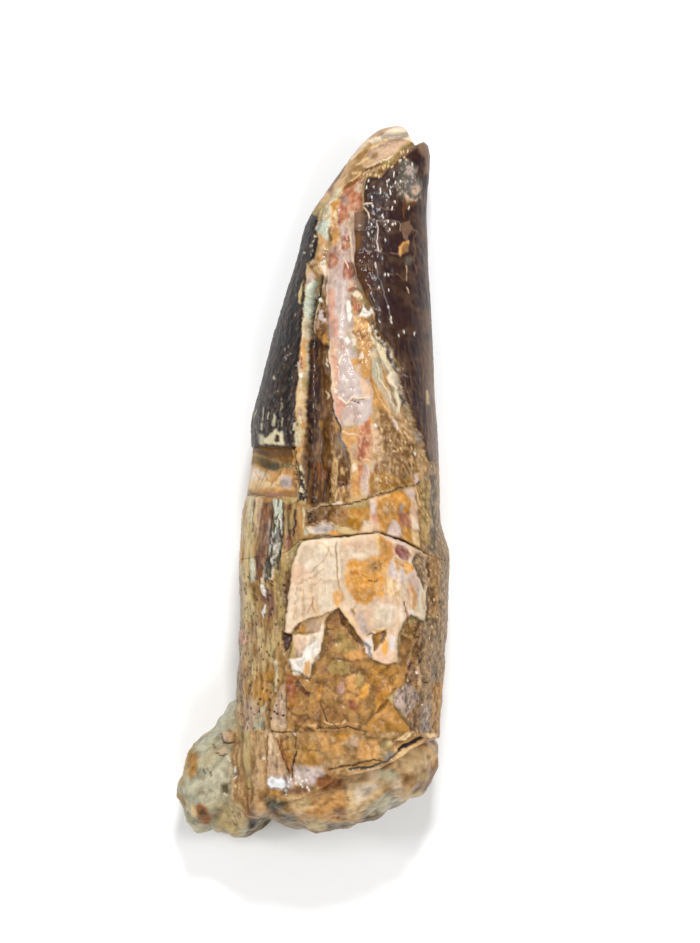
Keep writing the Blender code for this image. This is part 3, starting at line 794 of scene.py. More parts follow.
GROOVE = tenths([
    3, 240, 6, 204, 12, 196, 22, 192, 24, 160, 27, 128, 30, 98, 37, 78, 39, 64, 48, 50, 54, 36, 54, -30,
    -8, -30, -11, 0, -14, 24, -11, 60, -8, 100, -5, 140, -3, 200,
])
GROOVE_PATCHES = [
    (UMBER, 0.25, 0, [10, 194, 22, 192, 28, 94, 22, 80, 19, 120, 13, 140]),
    (COCOA, 0.2, 0.04, [15, 188, 21, 188, 24, 154, 18, 148, 14, 166]),
    (CHOCOLATE, 0.25, 0, [-4, 200, 9, 198, 11, 150, 6, 60, -4, 30, -10, 34]),
    (UMBER, 0.2, 0, [-3, 190, 5, 190, 3, 140, -2, 120]),
    (OCHRE, 0.12, 0.05, [8, 80, 10, 85, 14, 84, 15, 74, 12, 70]),
    (UMBER, 0.3, 0, [13, 90, 22, 86, 26, 40, 23, 24, 13, 30]),
    (UMBER, 0.25, 0, [-9, 26, 20, 30, 26, 16, 26, -30, -8, -30]),
    (RUST, 0.5, 0, [2, 24, 20, 24, 20, 4, 4, 4]),
    (TOFFEE, 0.15, 0.05, [22, 90, 28, 94, 32, 78, 33, 56, 29, 30, 24, 50]),
    (SAND, 0.12, 0.05, [28, 92, 37, 76, 35, 66, 32, 68]),
    (DRAB, 0.15, 0, [33, 62, 40, 64, 53, 38, 53, 14, 38, 48, 30, 46]),
    (ASH, 0.15, -0.04, [37, 70, 41, 68, 48, 48, 46, 42, 37, 60]),
    (COCOA, 0.15, -0.04, [46, 44, 50, 42, 53, 24, 50, 14]),
    (SAND, 0.15, 0.06, [26, 32, 32, 44, 34, -30, 26, -30]),
    (TOFFEE, 0.2, 0, [34, 32, 44, 28, 52, 8, 52, -6, 35, -4]),
    (OXBLOOD, 0.12, -0.04, [36, 1, 38, 6, 43, 2, 49, 4, 49, -4, 44, -8, 38, -7]),
    (SAND, 0.15, 0.05, [35, -9, 52, -6, 54, -30, 35, -30]),
    (FAWN, 0.12, 0.05, [50, -6, 55, -4, 58, -20, 52, -18]),
]
GROOVE_LINES = [
    (UMBER, 0.08, -0.1, [22, 130, 26, 122, 28, 100]),
    (PITCH, 0.08, -0.15, [28, 100, 39, 75, 39, 68]),
    (FAWN, 0.12, 0.05, [20, 126, 24, 122, 22, 118]),
    (IVORY, 0.1, 0.1, [20, 166, 21, 162]),
    (IVORY, 0.08, 0.05, [21, 172, 22, 169]),
    (ASH, 0.06, 0.05, [3, 110, 6, 103]),
    (PITCH, 0.1, -0.05, [-4, 30, -9, -28]),
    (CHOCOLATE, 0.1, -0.05, [4, 20, 1, -6, 2, -28], [24, 16, 16, -10]),
    (CHOCOLATE, 0.08, -0.05, [51, 14, 53, 2]),
    (BUTTER, 0.08, 0.05, [32, 30, 34, 16, 33, -4]),
]
LUMP_LINES = [
    (CLAY, 0.12, 0.1, [5, 208, 6, 228, 11, 254]),
    (WHITE, 0.25, 0.1, [10, 254, 14, 252]),
    (LILAC, 0.25, 0.1, [14, 238, 13, 229, 17, 226]),
    (UMBER, 0.12, -0.05, [16, 237, 17, 231]),
    (AMBER, 0.2, 0, [17, 204, 18, 196]),
]
GROOVE_LUMP = tenths([12, 257, 17, 252, 20, 245, 21, 192, 14, 192, 6, 204, 3, 210, 5, 230, 8, 245])


def paint_groove(skin):
    """The deep dark groove beside the ridge, lined with long streaks of brown."""
    groove = skin.patch(GROOVE, 0.08)
    skin.paint(groove, COCOA, gloss=0.55, grain=0.2, fibre=0.6, craze=0.0)
    skin.lay(GROOVE_PATCHES)
    skin.mottle(groove, (0.3, 1.6, 0.3), 51, SAND, CHOCOLATE, 0.35, 0.04)
    pale = groove * smooth_step(2.2, 2.6, skin.x) * smooth_step(6.0, 3.0, skin.y)
    skin.mottle(pale, (0.4, 0.6, 0.4), 52, BONE, UMBER, 0.5, 0.05)
    skin.draw(GROOVE_LINES)
    lump = skin.patch(GROOVE_LUMP, 0.08)
    skin.paint(lump, BARK, lift=0.3, gloss=0.5, grain=0.5)
    skin.mottle(lump, 0.6, 53, FAWN, UMBER, 0.6, 0.08)
    skin.draw(LUMP_LINES)


BAND = tenths([
    46, 409, 40, 394, 37, 380, 37, 353, 40, 344, 35, 334, 28, 330, 23, 320, 21, 300, 21, 220, 23, 190,
    25, 150, 28, 126, 30, 98, 39, 76, 66, 76, 74, 82, 84, 94, 86, 120, 81, 142, 68, 146, 58, 160, 52, 172,
    63, 173, 62, 202, 56, 210, 57, 230, 54, 264, 61, 273, 69, 268, 63, 286, 59, 306, 57, 379, 71, 380,
    70, 412, 73, 427, 64, 422, 54, 413,
])
BAND_PATCHES = [
    (CORAL, 0.4, 0, [36, 408, 68, 428, 74, 379, 59, 379, 56, 359, 36, 359]),
    (CORAL, 0.25, 0, [57, 402, 72, 400, 72, 379, 58, 379, 55, 390]),
    (ROSE, 0.15, 0, [42, 398, 49, 401, 52, 392, 48, 386, 41, 389]),
    (FAWN, 0.12, 0.08, [59, 412, 63, 420, 71, 419, 71, 408, 66, 404, 61, 406]),
    (SHELL, 0.25, 0, [50, 382, 57, 380, 57, 348, 51, 348, 42, 355, 43, 365, 50, 369]),
    (MAUVE, 0.25, 0, [37, 356, 50, 355, 52, 347, 40, 343]),
    (BRICK, 0.25, 0, [40, 343, 52, 345, 53, 330, 46, 324, 38, 328]),
    (CORAL, 0.15, 0, [45, 336, 51, 336, 51, 329, 46, 328]),
    (ROSE, 0.25, 0, [28, 332, 38, 332, 38, 318, 30, 317]),
    (BRICK, 0.15, 0, [21, 319, 30, 321, 37, 312, 35, 302, 26, 298, 21, 302]),
    (CORAL, 0.15, 0, [28, 313, 35, 311, 33, 304, 28, 305]),
    (BRICK, 0.15, 0, [44, 310, 58, 308, 61, 292, 55, 284, 44, 282, 41, 292]),
    (BLUSH, 0.15, 0, [52, 282, 63, 282, 66, 272, 59, 274, 51, 272]),
    (BRICK, 0.12, 0, [51, 272, 59, 274, 59, 270, 53, 265, 50, 268]),
    (LILAC, 0.4, 0, [33, 286, 48, 280, 50, 202, 36, 202]),
    (SALMON, 0.25, 0, [21, 270, 31, 268, 31, 224, 21, 224]),
    (ROSE, 0.3, 0, [22, 224, 31, 224, 34, 212, 29, 202, 23, 204]),
    (SALMON, 0.2, 0, [31, 228, 35, 226, 35, 206, 31, 204]),
    (BLUSH, 0.3, 0, [23, 202, 34, 202, 37, 160, 35, 126, 28, 126]),
    (SALMON, 0.3, 0, [28, 180, 34, 174, 37, 150, 32, 140]),
    (ROSE, 0.2, 0, [37, 200, 43, 200, 45, 188, 40, 186]),
    (LILAC, 0.3, 0, [40, 184, 50, 182, 66, 148, 82, 140, 84, 98, 74, 86, 64, 102, 38, 126, 36, 154],
        [48, 186, 56, 186, 58, 176, 48, 176]),
    (BLUSH, 0.25, 0, [64, 146, 83, 138, 85, 118, 70, 119]),
    (SALMON, 0.2, 0, [30, 126, 48, 110, 39, 82, 31, 98]),
    (MAUVE, 0.1, 0.05, [40, 98, 45, 105, 53, 108, 60, 103, 64, 93, 63, 82, 57, 78, 46, 78, 40, 83]),
    (LILAC, 0.15, 0, [64, 102, 73, 96, 74, 86, 66, 79]),
    (DUNE, 0.12, 0, [40, 79, 66, 79, 65, 74, 42, 74]),
    (WHITE, 0.08, 0.08, [50, 254, 54, 252, 56, 234, 53, 224, 49, 226]),
    (SHELL, 0.2, 0, [49, 213, 60, 215, 62, 204, 52, 202]),
    (WHITE, 0.15, 0.08, [46, 202, 52, 204, 54, 198, 49, 193]),
    (IVORY, 0.15, 0.06, [55, 202, 61, 201, 62, 191, 57, 189]),
    (CLAY, 0.2, 0, [56, 190, 62, 190, 62, 180, 56, 180]),
]
BAND_LINES = [
    (SHELL, 0.15, 0.05, [52, 348, 55, 316, 58, 306]),
    (ROSE, 0.08, 0, [40, 324, 45, 315, 46, 306]),
    (SHELL, 0.1, 0.05, [44, 316, 46, 308, 50, 302], [22, 296, 22, 248], [38, 331, 38, 326]),
    (SALMON, 0.12, 0.05, [46, 346, 47, 341]),
    (SHELL, 0.08, 0.05, [23, 196, 28, 130]),
    (IVORY, 0.12, 0.05, [42, 178, 37, 166]),
    (ROSE, 0.06, -0.05, [25, 177, 34, 174, 37, 170], [59, 82, 61, 92, 58, 102]),
    (IVORY, 0.12, 0.1, [35, 119, 48, 109, 56, 118, 72, 117, 82, 120]),
    (SAND, 0.06, -0.05, [54, 114, 58, 116, 76, 116]),
    (CHOCOLATE, 0.06, -0.1, [56, 114, 66, 112]),
    (FAWN, 0.06, 0, [48, 107, 42, 100, 39, 90, 40, 82]),
]


def paint_dentine_band(skin):
    """The pink and lilac band of bare dentine down the middle of the crown."""
    band = skin.patch(BAND, 0.1)
    skin.paint(band, MAUVE, gloss=0.55, grain=0.12, fibre=0.1, craze=0.0)
    skin.lay(BAND_PATCHES, band)
    upper = band * smooth_step(27.0, 31.0, skin.y)
    skin.mottle(upper, (0.5, 0.8, 0.5), 61, BLUSH, WINE, 0.3, 0.04)
    skin.mottle(band, (0.7, 1.4, 0.7), 62, IVORY, ROSE, 0.2, 0.03)
    skin.draw(BAND_LINES)


HOLLOW_FLOOR = tenths([
    54, 266, 61, 270, 69, 262, 72, 252, 82, 246, 86, 236, 92, 208, 110, 180, 120, 152, 127, 120, 133, 103,
    139, 84, 144, 72, 148, 72, 154, 55, 159, 35, 163, 29, 160, 14, 146, -6, 124, -5, 96, -14, 60, -29,
    53, -30, 53, 36, 48, 50, 40, 64, 41, 74, 66, 76, 74, 82, 84, 94, 86, 120, 81, 142, 68, 146, 52, 172,
    63, 173, 62, 202, 56, 210, 57, 230,
])
BROKEN_EDGE_ABOVE = [
    82, 226, 89, 218, 96, 206, 108, 189, 116, 168, 122, 152, 120, 148, 114, 156, 107, 170, 99, 185, 89, 202,
    83, 214,
]
BROKEN_EDGE_BELOW = [121, 144, 125, 134, 131, 114, 132, 106, 124, 108, 121, 124]
RED_STREAK = [66, 80, 74, 86, 81, 88, 80, 60, 80, 34, 74, 26, 64, 26, 62, 36, 64, 56]
HOLLOW_PATCHES = [
    (IVORY, 0.12, 0.15, [54, 264, 61, 269, 68, 262, 71, 254, 58, 259]),
    (CORAL, 0.15, 0, [56, 257, 62, 256, 68, 250, 66, 238, 58, 234]),
    (DUNE, 0.15, 0.05, [62, 257, 69, 253, 69, 246, 64, 248]),
    (WHITE, 0.12, 0.3, [63, 231, 71, 247, 76, 240, 81, 244, 84, 238, 79, 232, 73, 229]),
    (HONEY, 0.3, 0, [57, 226, 84, 228, 90, 206, 80, 176, 68, 170, 62, 184, 63, 202]),
    (HONEY, 0.25, 0.1, [60, 214, 62, 228, 69, 232, 78, 229, 79, 218, 70, 213]),
    (RUST, 0.2, 0, [66, 209, 74, 209, 76, 202, 69, 201]),
    (IVORY, 0.12, 0.15, [78, 222, 82, 216, 83, 206, 78, 209], [65, 178, 70, 184, 72, 176, 69, 171,
        64, 172]),
    (HONEY, 0.15, 0, [51, 172, 69, 171, 68, 159, 60, 163]),
    (BLUSH, 0.12, 0, [59, 163, 69, 165, 70, 148, 66, 146]),
    (HONEY, 0.15, 0.05, [69, 172, 80, 178, 81, 142, 71, 142]),
    (GLASS, 0.15, 0, [80, 186, 88, 189, 100, 174, 116, 124, 120, 100, 116, 96, 86, 122]),
    (CLAY, 0.2, 0, [81, 168, 92, 176, 99, 154, 96, 136, 86, 148]),
    (DUNE, 0.2, 0, [96, 166, 102, 158, 108, 130, 100, 124]),
    (HONEY, 0.12, 0, [81, 144, 86, 144, 106, 108, 112, 90, 107, 86, 98, 98, 87, 106]),
    (DUNE, 0.12, 0.05, [99, 120, 110, 106, 124, 69, 119, 72, 108, 92]),
    (IVORY, 0.15, 0.25, [102, 146, 107, 154, 114, 155, 120, 148, 121, 134, 117, 128, 105, 139]),
    (STRAW, 0.15, 0.2, [113, 134, 120, 130, 123, 110, 118, 96]),
    (STRAW, 0.12, 0.15, [82, 208, 99, 186, 114, 154, 108, 152, 84, 196]),
    (HEATHER, 0.1, 0.15, BROKEN_EDGE_ABOVE, BROKEN_EDGE_BELOW),
    (SAND, 0.3, 0, [93, 106, 104, 100, 124, 64, 128, 98, 146, 70, 162, 28, 154, 2, 144, -4, 124, -4,
        94, -14, 80, -14, 80, 20, 94, 34, 99, 60]),
    (BARK, 0.4, 0, [93, 102, 108, 94, 122, 64, 142, 56, 142, 8, 124, 6, 104, 16]),
    (OCHRE, 0.3, 0, [82, 12, 102, 14, 122, 4, 140, 4, 124, -6, 80, -16]),
    (DUNE, 0.25, 0.05, [120, 106, 132, 102, 148, 68, 158, 34, 148, 30, 142, 54, 132, 64, 122, 84]),
    (HEATHER, 0.15, 0.05, [142, 73, 149, 72, 153, 58, 148, 54]),
    (DUNE, 0.3, 0, [146, 32, 159, 34, 160, 16, 150, 8]),
    (LILAC, 0.1, 0.05, [110, 93, 116, 88, 120, 75, 117, 73]),
    (LILAC, 0.15, 0.05, [142, 8, 146, 12, 147, -5, 142, -5]),
    (SAFFRON, 0.12, 0.05, [74, 98, 83, 99, 86, 90, 82, 82, 77, 87]),
    (DUNE, 0.15, 0, [83, 98, 92, 92, 97, 68, 99, 34, 86, 22, 79, 30]),
    (BLUSH, 0.15, 0.05, [82, 82, 88, 80, 92, 62, 96, 66, 94, 44, 85, 42]),
    (HONEY, 0.15, 0, [42, 72, 62, 74, 64, 56, 56, 44, 50, 48, 44, 58]),
    (FAWN, 0.15, 0, [54, 50, 62, 56, 63, 34, 56, 34]),
    (HONEY, 0.15, 0, [55, 16, 63, 18, 68, -8, 66, -24, 56, -26]),
    (CORAL, 0.15, 0, RED_STREAK),
    (BRICK, 0.2, 0, [64, 60, 70, 63, 72, 44, 68, 29, 63, 29]),
    (BRICK, 0.15, 0, [74, 64, 79, 64, 79, 54, 74, 50]),
    (CORAL, 0.12, 0, [63, 24, 69, 24, 68, -8, 64, -6]),
    (SHELL, 0.15, 0, [80, 30, 87, 32, 86, 12, 81, 12]),
    (IVORY, 0.15, 0.12, [54, 24, 60, 25, 61, 17, 56, 14]),
    (MAUVE, 0.1, 0, [71, 25, 76, 26, 79, 12, 80, -18, 69, -18, 67, -2]),
    (DUNE, 0.12, 0, [54, -26, 68, -18, 80, -19, 96, -13, 84, -22, 64, -30]),
]
HOLLOW_LINES = [
    (GLASS, 0.06, 0.05, [84, 176, 92, 140, 98, 124]),
    (IVORY, 0.06, 0.05, [89, 168, 94, 146, 114, 106]),
    (AMBER, 0.06, -0.05, [94, 172, 99, 152, 116, 108]),
    (BONE, 0.06, 0.05, [86, 136, 94, 118, 108, 98]),
    (AMBER, 0.08, 0, [83, 174, 82, 156, 87, 120]),
    (STRAW, 0.08, 0.1, [127, 108, 132, 102, 138, 84]),
    (IVORY, 0.08, 0.05, [119, 124, 118, 108, 121, 96]),
    (SHELL, 0.1, 0.05, [43, 71, 62, 64]),
    (BONE, 0.12, 0.1, [72, 32, 76, 34, 79, 31]),
    (SALMON, 0.12, 0.05, [64, 64, 67, 60, 66, 52]),
    (WHITE, 0.12, 0.1, [87, 81, 89, 79], [142, 42, 144, 39]),
    (DUNE, 0.1, 0.05, [138, 34, 141, 20, 139, 8]),
    (HONEY, 0.1, 0.05, [154, 32, 158, 24, 158, 18]),
]


def paint_hollow(skin):
    """The broken hollow right of the band: crusts, glassy streaks, the enamel's edge and rough sand."""
    hollow = skin.patch(HOLLOW_FLOOR, 0.1)
    skin.paint(hollow, DUNE, gloss=0.55, grain=0.4, fibre=0.05, craze=0.0)
    skin.lay(HOLLOW_PATCHES, hollow)
    crusts = hollow * smooth_step(16.5, 18.0, skin.y)
    skin.mottle(crusts, 0.6, 71, BONE, BARK, 0.4, 0.12)
    sandy = hollow * smooth_step(8.2, 9.4, skin.x) * smooth_step(10.8, 9.4, skin.y)
    skin.mottle(sandy, 0.4, 72, BONE, UMBER, 0.4, 0.05)
    skin.scatter(sandy, 0.7, 0.32, 73, 0.35, BONE, 0.05)
    red = skin.patch(tenths(RED_STREAK), 0.2)
    skin.mottle(red, 0.4, 74, BLUSH, BRICK, 0.5, 0.05)
    column = hollow * smooth_step(5.2, 5.6, skin.x) * smooth_step(9.6, 9.0, skin.x)
    column *= smooth_step(7.0, 6.0, skin.y)
    skin.mottle(column, (0.5, 0.7, 0.5), 75, BONE, CORAL, 0.3, 0.04)
    skin.draw(HOLLOW_LINES)
    above, below = (skin.patch(tenths(edge), 0.15) for edge in (BROKEN_EDGE_ABOVE, BROKEN_EDGE_BELOW))
    skin.mottle(np.maximum(above, below), 0.45, 76, IVORY, CHOCOLATE, 0.8, 0.12)


# The gold and olive under the bite's upper wall are partly painted shade, and the slate and moss band across
# its deepest crease is painted shadow
NOTCH_PATCHES_AND_SHADE = [
    (GOLD, 0.25, 0, [-130, 54, -20, 54, -22, 26, -40, 27, -75, 39, -130, 40]),
    (OLIVE, 0.3, 0, [-80, 46, -68, 47, -58, 43, -64, 37, -76, 39]),
    (OLIVE, 0.25, 0, [-56, 48, -32, 45, -24, 39, -46, 43]),
    (OLIVE, 0.3, 0, [-130, 38, -78, 38, -50, 30, -42, 24, -42, 17, -50, 13, -78, 24, -130, 26]),
    (MOSS, 0.3, 0, [-66, 26, -52, 26, -44, 21, -48, 15, -58, 16]),
    (SLATE, 0.25, 0, [-78, 34, -68, 32, -62, 27, -72, 27]),
    (KHAKI, 0.3, 0, [-44, 27, -22, 26, -21, 18, -42, 19]),
    (IVORY, 0.35, 0, [-130, 19, -78, 19, -62, 12, -64, 6, -84, 2, -130, 2]),
    (HONEY, 0.3, 0, [-78, 24, -52, 13, -54, 10, -66, 13]),
    (BONE, 0.3, 0, [-86, 1, -58, 7, -60, -2, -74, -8, -88, -6]),
    (HONEY, 0.25, 0, [-58, 12, -44, 17, -43, 10, -54, -2, -58, 2]),
    (HONEY, 0.2, 0, [-46, 18, -24, 19, -24, 8, -40, 9]),
    (LILAC, 0.25, 0, [-46, 3, -36, 8, -29, 7, -29, -6, -36, -10, -44, -6]),
    (HONEY, 0.15, 0, [-29, 18, -21, 19, -21, -24, -28, -16]),
    (HONEY, 0.25, 0, [-86, -12, -70, -8, -29, -10, -26, -22, -88, -19]),
    (KHAKI, 0.2, 0, [-96, -10, -86, -10, -82, -19, -96, -22]),
    (SALMON, 0.12, 0.04, [-64, -16, -42, -16, -38, -21, -62, -20]),
]
NOTCH_LINES = [
    (BONE, 0.08, 0.05, [-38, 24, -23, 20]),
    (SALMON, 0.08, 0, [-80, 14, -70, 2]),
    (AMBER, 0.08, 0, [-66, 11, -62, 4, -50, -6]),
    (BLUSH, 0.08, 0, [-56, -4, -46, 2, -42, 8]),
    # A dark line of painted shade right under the upper wall's edge
    (CHOCOLATE, 0.12, 0, [-82, 48, -74, 50, -50, 50, -25, 46]),
    (CHOCOLATE, 0.1, -0.1, [-37, -32, -23, -28, -20, -24]),
    (BARK, 0.08, -0.05, [-94, -20, -80, -18, -46, -23, -38, -26]),
]


def paint_notch(skin):
    """The square bite out of the left side: gold and olive under its upper wall, partly painted shade, then
    a grey-green band of painted shadow along its deepest crease, then peach.
    """
    bite = smooth_step(0.0, 0.4, skin.notch)
    skin.paint(bite, BONE, gloss=0.35, grain=0.08, fibre=0.0, craze=0.0)
    skin.lay(NOTCH_PATCHES_AND_SHADE, bite)
    skin.roughen(skin.notch * smooth_step(0.2, 0.6, skin.facing), 0.12, (2.0, 0.9, 1.2), 81)
    skin.draw(NOTCH_LINES)


# ---------------------------------------------------------------- painting the root

NECK = tenths([
    -10, -30, 20, -32, 52, -30, 65, -27, 85, -20, 97, -15, 112, -12, 120, -6, 135, -7, 148, -6, 152, -40,
    154, -98, 133, -83, 112, -77, 90, -71, 55, -73, 8, -76, -14, -80,
])
NECK_PATCHES = [
    (UMBER, 0.3, 0, [-8, -32, 22, -33, 24, -54, -10, -62]),
    (CHOCOLATE, 0.15, -0.04, [-6, -42, 0, -40, 3, -50, -2, -58, -7, -56]),
    (BARK, 0.2, 0, [4, -36, 20, -36, 22, -50, 8, -54]),
    (TOFFEE, 0.25, 0, [20, -36, 40, -34, 42, -52, 34, -56, 22, -54]),
    (SAND, 0.25, 0, [24, -48, 48, -48, 48, -60, 32, -60, 24, -56]),
    (RUST, 0.15, 0, [41, -38, 49, -38, 48, -48, 41, -48]),
    (KHAKI, 0.2, 0, [48, -32, 80, -24, 80, -34, 50, -40]),
    (AMBER, 0.2, 0, [50, -38, 78, -36, 82, -50, 72, -54, 50, -50]),
    (GOLD, 0.2, 0, [50, -52, 68, -52, 69, -64, 62, -67, 52, -62, 48, -58]),
    (CLAY, 0.15, 0.05, [-12, -64, -4, -62, 0, -70, -8, -75, -14, -72]),
    (SHELL, 0.12, 0.1, [-8, -65, 16, -55, 28, -57, 34, -64, 30, -73, -4, -73]),
    (PEARL, 0.12, 0.12, [-2, -67, 16, -59, 24, -60, 28, -66, 21, -71, 10, -72, 1, -71]),
    (MARIGOLD, 0.1, 0.05, [20, -72, 27, -68, 35, -70, 34, -74]),
    (BUTTER, 0.1, 0.1, [32, -60, 65, -69, 56, -73, 38, -72, 33, -68]),
    (BLUSH, 0.2, 0, [70, -60, 80, -52, 80, -24, 92, -19, 93, -70, 66, -71]),
    (LILAC, 0.15, 0.03, [79, -27, 87, -25, 89, -38, 84, -43]),
    (SALMON, 0.2, 0, [82, -44, 92, -42, 92, -56, 84, -58]),
    (SHELL, 0.15, 0, [72, -54, 80, -52, 82, -66, 72, -68]),
    (AMBER, 0.2, 0, [93, -20, 112, -14, 132, -13, 138, -26, 138, -62, 122, -62, 113, -52, 102, -71, 94, -70,
        91, -44]),
    (OCHRE, 0.3, 0, [96, -30, 112, -28, 116, -44, 108, -52, 97, -48]),
    (MARIGOLD, 0.2, 0, [112, -17, 128, -16, 130, -26, 122, -30, 114, -26]),
    (HEATHER, 0.12, 0, [122, -30, 126, -29, 125, -42, 120, -44]),
    (BRICK, 0.25, 0, [120, -42, 137, -42, 138, -62, 128, -64, 121, -54]),
    (MAUVE, 0.1, 0.08, [113, -53, 118, -54, 122, -62, 125, -74, 120, -78, 108, -76, 103, -72]),
    (AMBER, 0.15, 0, [125, -64, 139, -64, 140, -80, 132, -81, 126, -74]),
    (MAUVE, 0.15, 0.03, [126, -10, 142, -10, 143, -26, 138, -26]),
    (BLUSH, 0.15, 0.03, [138, -24, 145, -26, 150, -68, 140, -66, 137, -46]),
    (IVORY, 0.2, 0.03, [139, -50, 148, -52, 149, -66, 140, -64]),
    (BONE, 0.15, 0, [139, -66, 149, -70, 150, -90, 142, -86]),
]
NECK_LINES = [
    (FAWN, 0.1, 0.05, [-6, -40, 12, -33, 22, -32]),
    (SALMON, 0.08, 0.05, [-2, -60, 8, -55, 20, -54]),
    (SAND, 0.08, 0.05, [30, -59, 44, -60, 54, -65]),
    # The ivory line along the crack here is a painted highlight
    (IVORY, 0.15, 0.1, [29, -32, 37, -29, 40, -30]),
    (BONE, 0.08, 0.05, [144, -12, 146, -24, 150, -32], [94, -24, 98, -19, 106, -16]),
]


def paint_neck(skin):
    """The stretch between the two cracks right of the ridge: amber, rose, lilac and cream."""
    neck = skin.patch(NECK, 0.15)
    skin.paint(neck, SAND, gloss=0.6, grain=0.3, fibre=0.1, craze=0.0)
    skin.lay(NECK_PATCHES, neck)
    skin.mottle(neck, 0.6, 91, BONE, BARK, 0.25, 0.05)
    skin.draw(NECK_LINES)


GREY_BAND = [-54, -46, -42, -50, -44, -84, -50, -120, -66, -146, -69, -124, -62, -96, -57, -70]
LEFT_ROOT_PATCHES = [
    (BUTTER, 0.3, 0, [-94, -20, -74, -21, -84, -110, -94, -110]),
    (STRAW, 0.2, 0.05, [-89, -21, -81, -21, -83, -54, -90, -56]),
    (BONE, 0.15, 0.05, [-79, -22, -73, -22, -77, -64, -81, -64]),
    (BUTTER, 0.3, 0, [-99, -60, -86, -60, -85, -130, -92, -144, -104, -130]),
    (OCHRE, 0.3, 0, [-108, -80, -96, -82, -96, -116, -108, -114]),
    (FAWN, 0.15, 0.04, [-75, -22, -69, -24, -72, -70, -79, -72]),
    (LICHEN, 0.12, 0.06, [-86, -104, -82, -104, -81, -138, -86, -142]),
    (PLUM, 0.12, -0.08, [-69, -29, -55, -28, -57, -70, -68, -134, -80, -138, -81, -104]),
    (RUST, 0.3, 0, [-68, -36, -60, -34, -61, -54, -68, -56]),
    (HEATHER, 0.2, 0, [-62, -52, -58, -50, -62, -86, -66, -84]),
    (LICHEN, 0.12, 0.08, [-55, -22, -40, -26, -41, -48, -45, -54, -53, -46]),
    (SLATE, 0.15, 0, GREY_BAND),
    (ASH, 0.2, 0.04, [-53, -72, -46, -70, -49, -100, -57, -102]),
    (PLUM, 0.25, 0, [-72, -154, -54, -148, -52, -184, -64, -194, -65, -170, -72, -166]),
    # This white spot on the plum strip is painted glints
    (WHITE, 0.08, 0.08, [-72, -144, -68, -142, -64, -152, -65, -162, -70, -156]),
    (IVORY, 0.08, 0.06, [-70, -124, -67, -122, -67, -142, -70, -142], [-57, -120, -54, -118, -56, -138,
        -59, -136]),
    (WHITE, 0.08, 0.1, [-72, -182, -66, -171, -66, -184, -69, -194]),
    (RUST, 0.15, 0, [-76, -120, -71, -120, -71, -132, -76, -132]),
    (SAND, 0.15, 0, [-39, -30, -24, -29, -26, -94, -39, -96]),
    (RUST, 0.15, -0.04, [-39, -34, -32, -30, -30, -38, -37, -40]),
    (KHAKI, 0.15, 0, [-38, -46, -27, -46, -27, -66, -37, -68]),
    (UMBER, 0.12, -0.05, [-36, -66, -26, -64, -26, -72, -34, -73]),
    (BRICK, 0.12, 0, [-37, -76, -30, -72, -27, -86, -31, -93, -38, -94]),
    (SAND, 0.15, 0.05, [-22, -29, -9, -29, -9, -66, -12, -76, -21, -78]),
    (OCHRE, 0.15, 0, [-19, -50, -13, -50, -14, -68, -19, -70]),
    (STRAW, 0.1, 0.05, [-14, -34, -11, -34, -11, -66, -14, -66]),
    (KHAKI, 0.3, 0, [-53, -120, -38, -104, -32, -124, -39, -204, -52, -200]),
    (BARK, 0.2, -0.05, [-40, -126, -31, -124, -31, -156, -36, -182, -42, -170]),
    (OLIVE, 0.3, -0.04, [-85, -144, -76, -144, -73, -158, -78, -168, -84, -164]),
    (BUTTER, 0.4, 0, [-98, -148, -86, -150, -80, -184, -88, -196, -98, -190]),
    (SALMON, 0.15, 0.15, [-116, -214, -96, -206, -92, -209, -89, -220, -93, -227, -116, -224]),
    (BUTTER, 0.2, 0.05, [-73, -206, -68, -204, -68, -236, -73, -242]),
    (BUTTER, 0.25, 0.05, [-64, -224, -54, -224, -53, -254, -62, -252]),
    (OCHRE, 0.4, 0, [-84, -266, -52, -264, -50, -300, -64, -306, -86, -296]),
    (BUTTER, 0.12, 0.05, [-84, -254, -80, -254, -77, -274, -81, -276]),
    (STRAW, 0.12, 0.05, [-53, -250, -50, -250, -50, -294, -53, -294]),
    (FAWN, 0.4, 0, [-96, -306, -82, -304, -66, -330, -64, -352, -96, -352]),
    (CLAY, 0.1, 0.06, [-63, -309, -67, -310, -78, -327, -75, -329, -68, -321]),
    (CLAY, 0.3, 0.04, [-82, -330, -68, -330, -66, -354, -82, -354]),
    (FAWN, 0.15, 0.04, [-38, -282, -36, -343, -50, -349, -59, -342, -58, -330, -44, -284]),
    (ROSE, 0.15, 0, [-50, -316, -44, -316, -44, -330, -49, -332]),
    (DRAB, 0.3, 0, [-120, -130, -98, -130, -100, -310, -130, -310]),
]
FLANK_LINES = [
    (PITCH, 0.1, -0.1, [-40, -29, -42, -80, -50, -124]),
    (PITCH, 0.08, -0.1, [-25, -38, -24, -54, -26, -74]),
    (PITCH, 0.1, -0.05, [-49, -24, -47, -29, -48, -36]),
    (PITCH, 0.08, -0.05, [-48, -46, -45, -54, -47, -64]),
    (WHITE, 0.08, 0.05, [-46, -48, -44, -58, -46, -66]),
    (LICHEN, 0.08, 0.05, [-52, -54, -51, -66, -53, -78]),
    (LICHEN, 0.06, 0.05, [-46, -86, -52, -106]),
    (BARK, 0.08, -0.05, [-70, -30, -74, -64, -80, -94]),
    (CHOCOLATE, 0.1, -0.05, [-56, -30, -59, -76]),
    (UMBER, 0.08, -0.05, [-80, -24, -85, -70]),
]
LEFT_FLANK = tenths([
    -140, -21, -70, -20, -40, -26, -10, -30, -14, -79, -34, -94, -30, -120, -37, -210, -35, -260, -36, -348,
    -140, -350,
])


